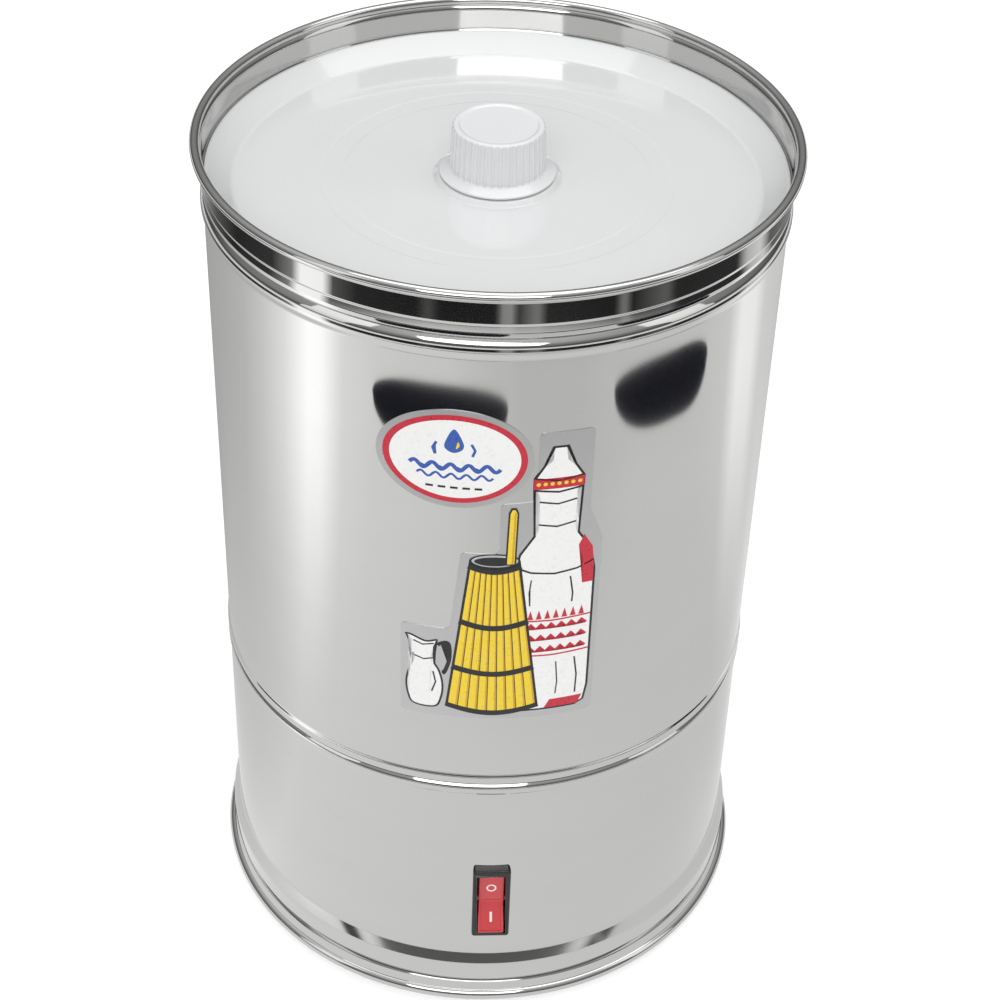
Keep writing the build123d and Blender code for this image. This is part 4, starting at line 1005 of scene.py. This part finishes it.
# (degrees from the front, brightness)
TABLE_NEAR = [
    (-180, 0.5), (-162, 0.4), (-144, 0.45), (-126, 0.64), (-109, 0.74), (-92, 0.84), (-72, 1.0),
    (-44, 0.97), (0, 0.93), (44, 0.89), (78, 0.84), (96, 0.78), (110, 0.78), (128, 0.84), (146, 0.66),
    (162, 0.42), (180, 0.5),
]
TABLE_FAR = [
    (-180, 0.45), (-162, 0.34), (-146, 0.46), (-126, 0.6), (-110, 0.72), (-97, 0.92), (-85, 1.2),
    (-73, 1.7), (-67, 1.66), (-58, 1.14), (-45, 1.02), (-18, 0.95), (8, 0.76), (28, 0.76), (52, 0.86),
    (82, 0.88), (94, 0.94), (102, 1.34), (112, 1.26), (121, 0.9), (138, 0.72), (160, 0.44), (180, 0.45),
]
TABLE_RING = [
    (-180, 0.5), (-150, 0.4), (-130, 0.12), (-112, 0.03), (-90, 0.05), (-80, 0.3), (-76, 1.5),
    (-66, 1.45), (-62, 0.12), (-52, 0.03), (-30, 0.02), (-26, 0.1), (-22, 0.02), (-2, 0.02), (0, 0.34),
    (3, 0.38), (5, 0.04), (12, 0.28), (15, 0.03), (40, 0.02), (43, 0.3), (46, 0.02), (60, 0.16),
    (64, 0.03), (95, 0.04), (101, 0.7), (110, 0.9), (118, 0.15), (150, 0.3), (180, 0.5),
]
table_bm = bmesh.new()
bmesh.ops.create_circle(
    table_bm, cap_ends=True, segments=128, radius=1.3, matrix=Matrix.Translation((0, 0, 0.003))
)
card("table", table_bm, table_glow())


def tongue(name, start, end, far_r, near_r, lean, material):
    """A dark card on the table, seen only in reflections, that paints a dark reflection in the steel; it
    has a rounded near edge, and lean moves its deepest place.
    """
    bm = bmesh.new()
    grid = bmesh.ops.create_grid(bm, x_segments=60, y_segments=4, size=1)["verts"]
    for vert in grid:
        across, depth = vert.co.x, (vert.co.y + 1) / 2
        bent = (across - lean) / (1 - lean if across > lean else 1 + lean)
        swell = max(0.0, 1 - abs(bent) ** 3.2) ** 0.5
        tip_r = far_r - (far_r - near_r) * 0.3
        near_edge = tip_r + (near_r - tip_r) * swell
        far_edge = tip_r + (far_r - tip_r) * swell
        radius = far_edge + (near_edge - far_edge) * depth
        angle = radians((start + end) / 2 + (end - start) / 2 * across - 90)
        vert.co = (radius * cos(angle), radius * sin(angle), 0.0045)
    return card(name, bm, material)


# Painted dark reflections: two near-black cards that only the steel mirrors.
dark = glow_material("card_dark", (0.013, 0.014, 0.020), 1.0)
tongue("dark_left", -46, 3, 0.538, 0.474, 0.0, dark)
tongue("dark_right", 41, 82, 0.545, 0.474, 0.3, dark)

world = bpy.data.worlds.new("studio")
bpy.context.scene.world = world
world.use_nodes = True
tree = world.node_tree
tree.nodes.clear()
sky_coords = tree.nodes.new("ShaderNodeTexCoord")
split = tree.nodes.new("ShaderNodeSeparateXYZ")
tree.links.new(sky_coords.outputs["Generated"], split.inputs["Vector"])
SKY_BY_HEIGHT = [(0.0, 0.2), (0.14, 0.12), (0.3, 0.3), (0.5, 0.42), (0.68, 0.62), (0.85, 1.0)]
sky = ramp(tree, split.outputs["Z"], SKY_BY_HEIGHT)
studio_light = tree.nodes.new("ShaderNodeBackground")
tree.links.new(sky, studio_light.inputs["Color"])
studio_light.inputs["Strength"].default_value = 0.8
plain_white = tree.nodes.new("ShaderNodeBackground")
plain_white.inputs["Color"].default_value = (1, 1, 1, 1)
light_path = tree.nodes.new("ShaderNodeLightPath")
mix = tree.nodes.new("ShaderNodeMixShader")
tree.links.new(light_path.outputs["Is Camera Ray"], mix.inputs["Fac"])
tree.links.new(studio_light.outputs["Background"], mix.inputs[1])
tree.links.new(plain_white.outputs["Background"], mix.inputs[2])
out = tree.nodes.new("ShaderNodeOutputWorld")
tree.links.new(mix.outputs["Shader"], out.inputs["Surface"])


def softbox(name, place, aim, width, height, power):
    """A large soft light."""
    light = bpy.data.lights.new(name, "AREA")
    light.shape = "RECTANGLE"
    light.size = width
    light.size_y = height
    light.energy = power
    lamp = bpy.data.objects.new(name, light)
    lamp.location = place
    lamp.rotation_euler = (Vector(aim) - Vector(place)).to_track_quat("-Z", "Y").to_euler()
    bpy.context.scene.collection.objects.link(lamp)
    return lamp


softbox("top_light", (0.2, 0.3, 2.2), (0, 0, 0.2), 1.8, 1.4, 11.5)
softbox("left_light", (-1.7, -0.8, 1.2), (0, 0, 0.2), 0.7, 1.6, 3)
softbox("right_light", (1.7, -0.6, 1.2), (0, 0, 0.2), 0.7, 1.6, 3)
softbox("front_light", (-0.2, -1.6, 1.5), (0, 0, 0.2), 1.4, 0.8, 13)

# ---------------------------------------------------------------- camera
camera_data = bpy.data.cameras.new("camera")
camera_data.lens = 79.42
camera_data.sensor_width = 36
camera = bpy.data.objects.new("camera", camera_data)
bpy.context.scene.collection.objects.link(camera)
camera_place = Vector((-40.4, -700.9, 728.9)) * MM
camera_aim = Vector((4.93, -0.32, 179.4)) * MM
facing_turn = (camera_aim - camera_place).to_track_quat("-Z", "Y").to_matrix().to_4x4()
camera_roll = Matrix.Rotation(radians(1.98), 4, "Z")
camera.matrix_world = Matrix.Translation(camera_place) @ facing_turn @ camera_roll
bpy.context.scene.camera = camera
bpy.context.scene.view_settings.view_transform = "Standard"
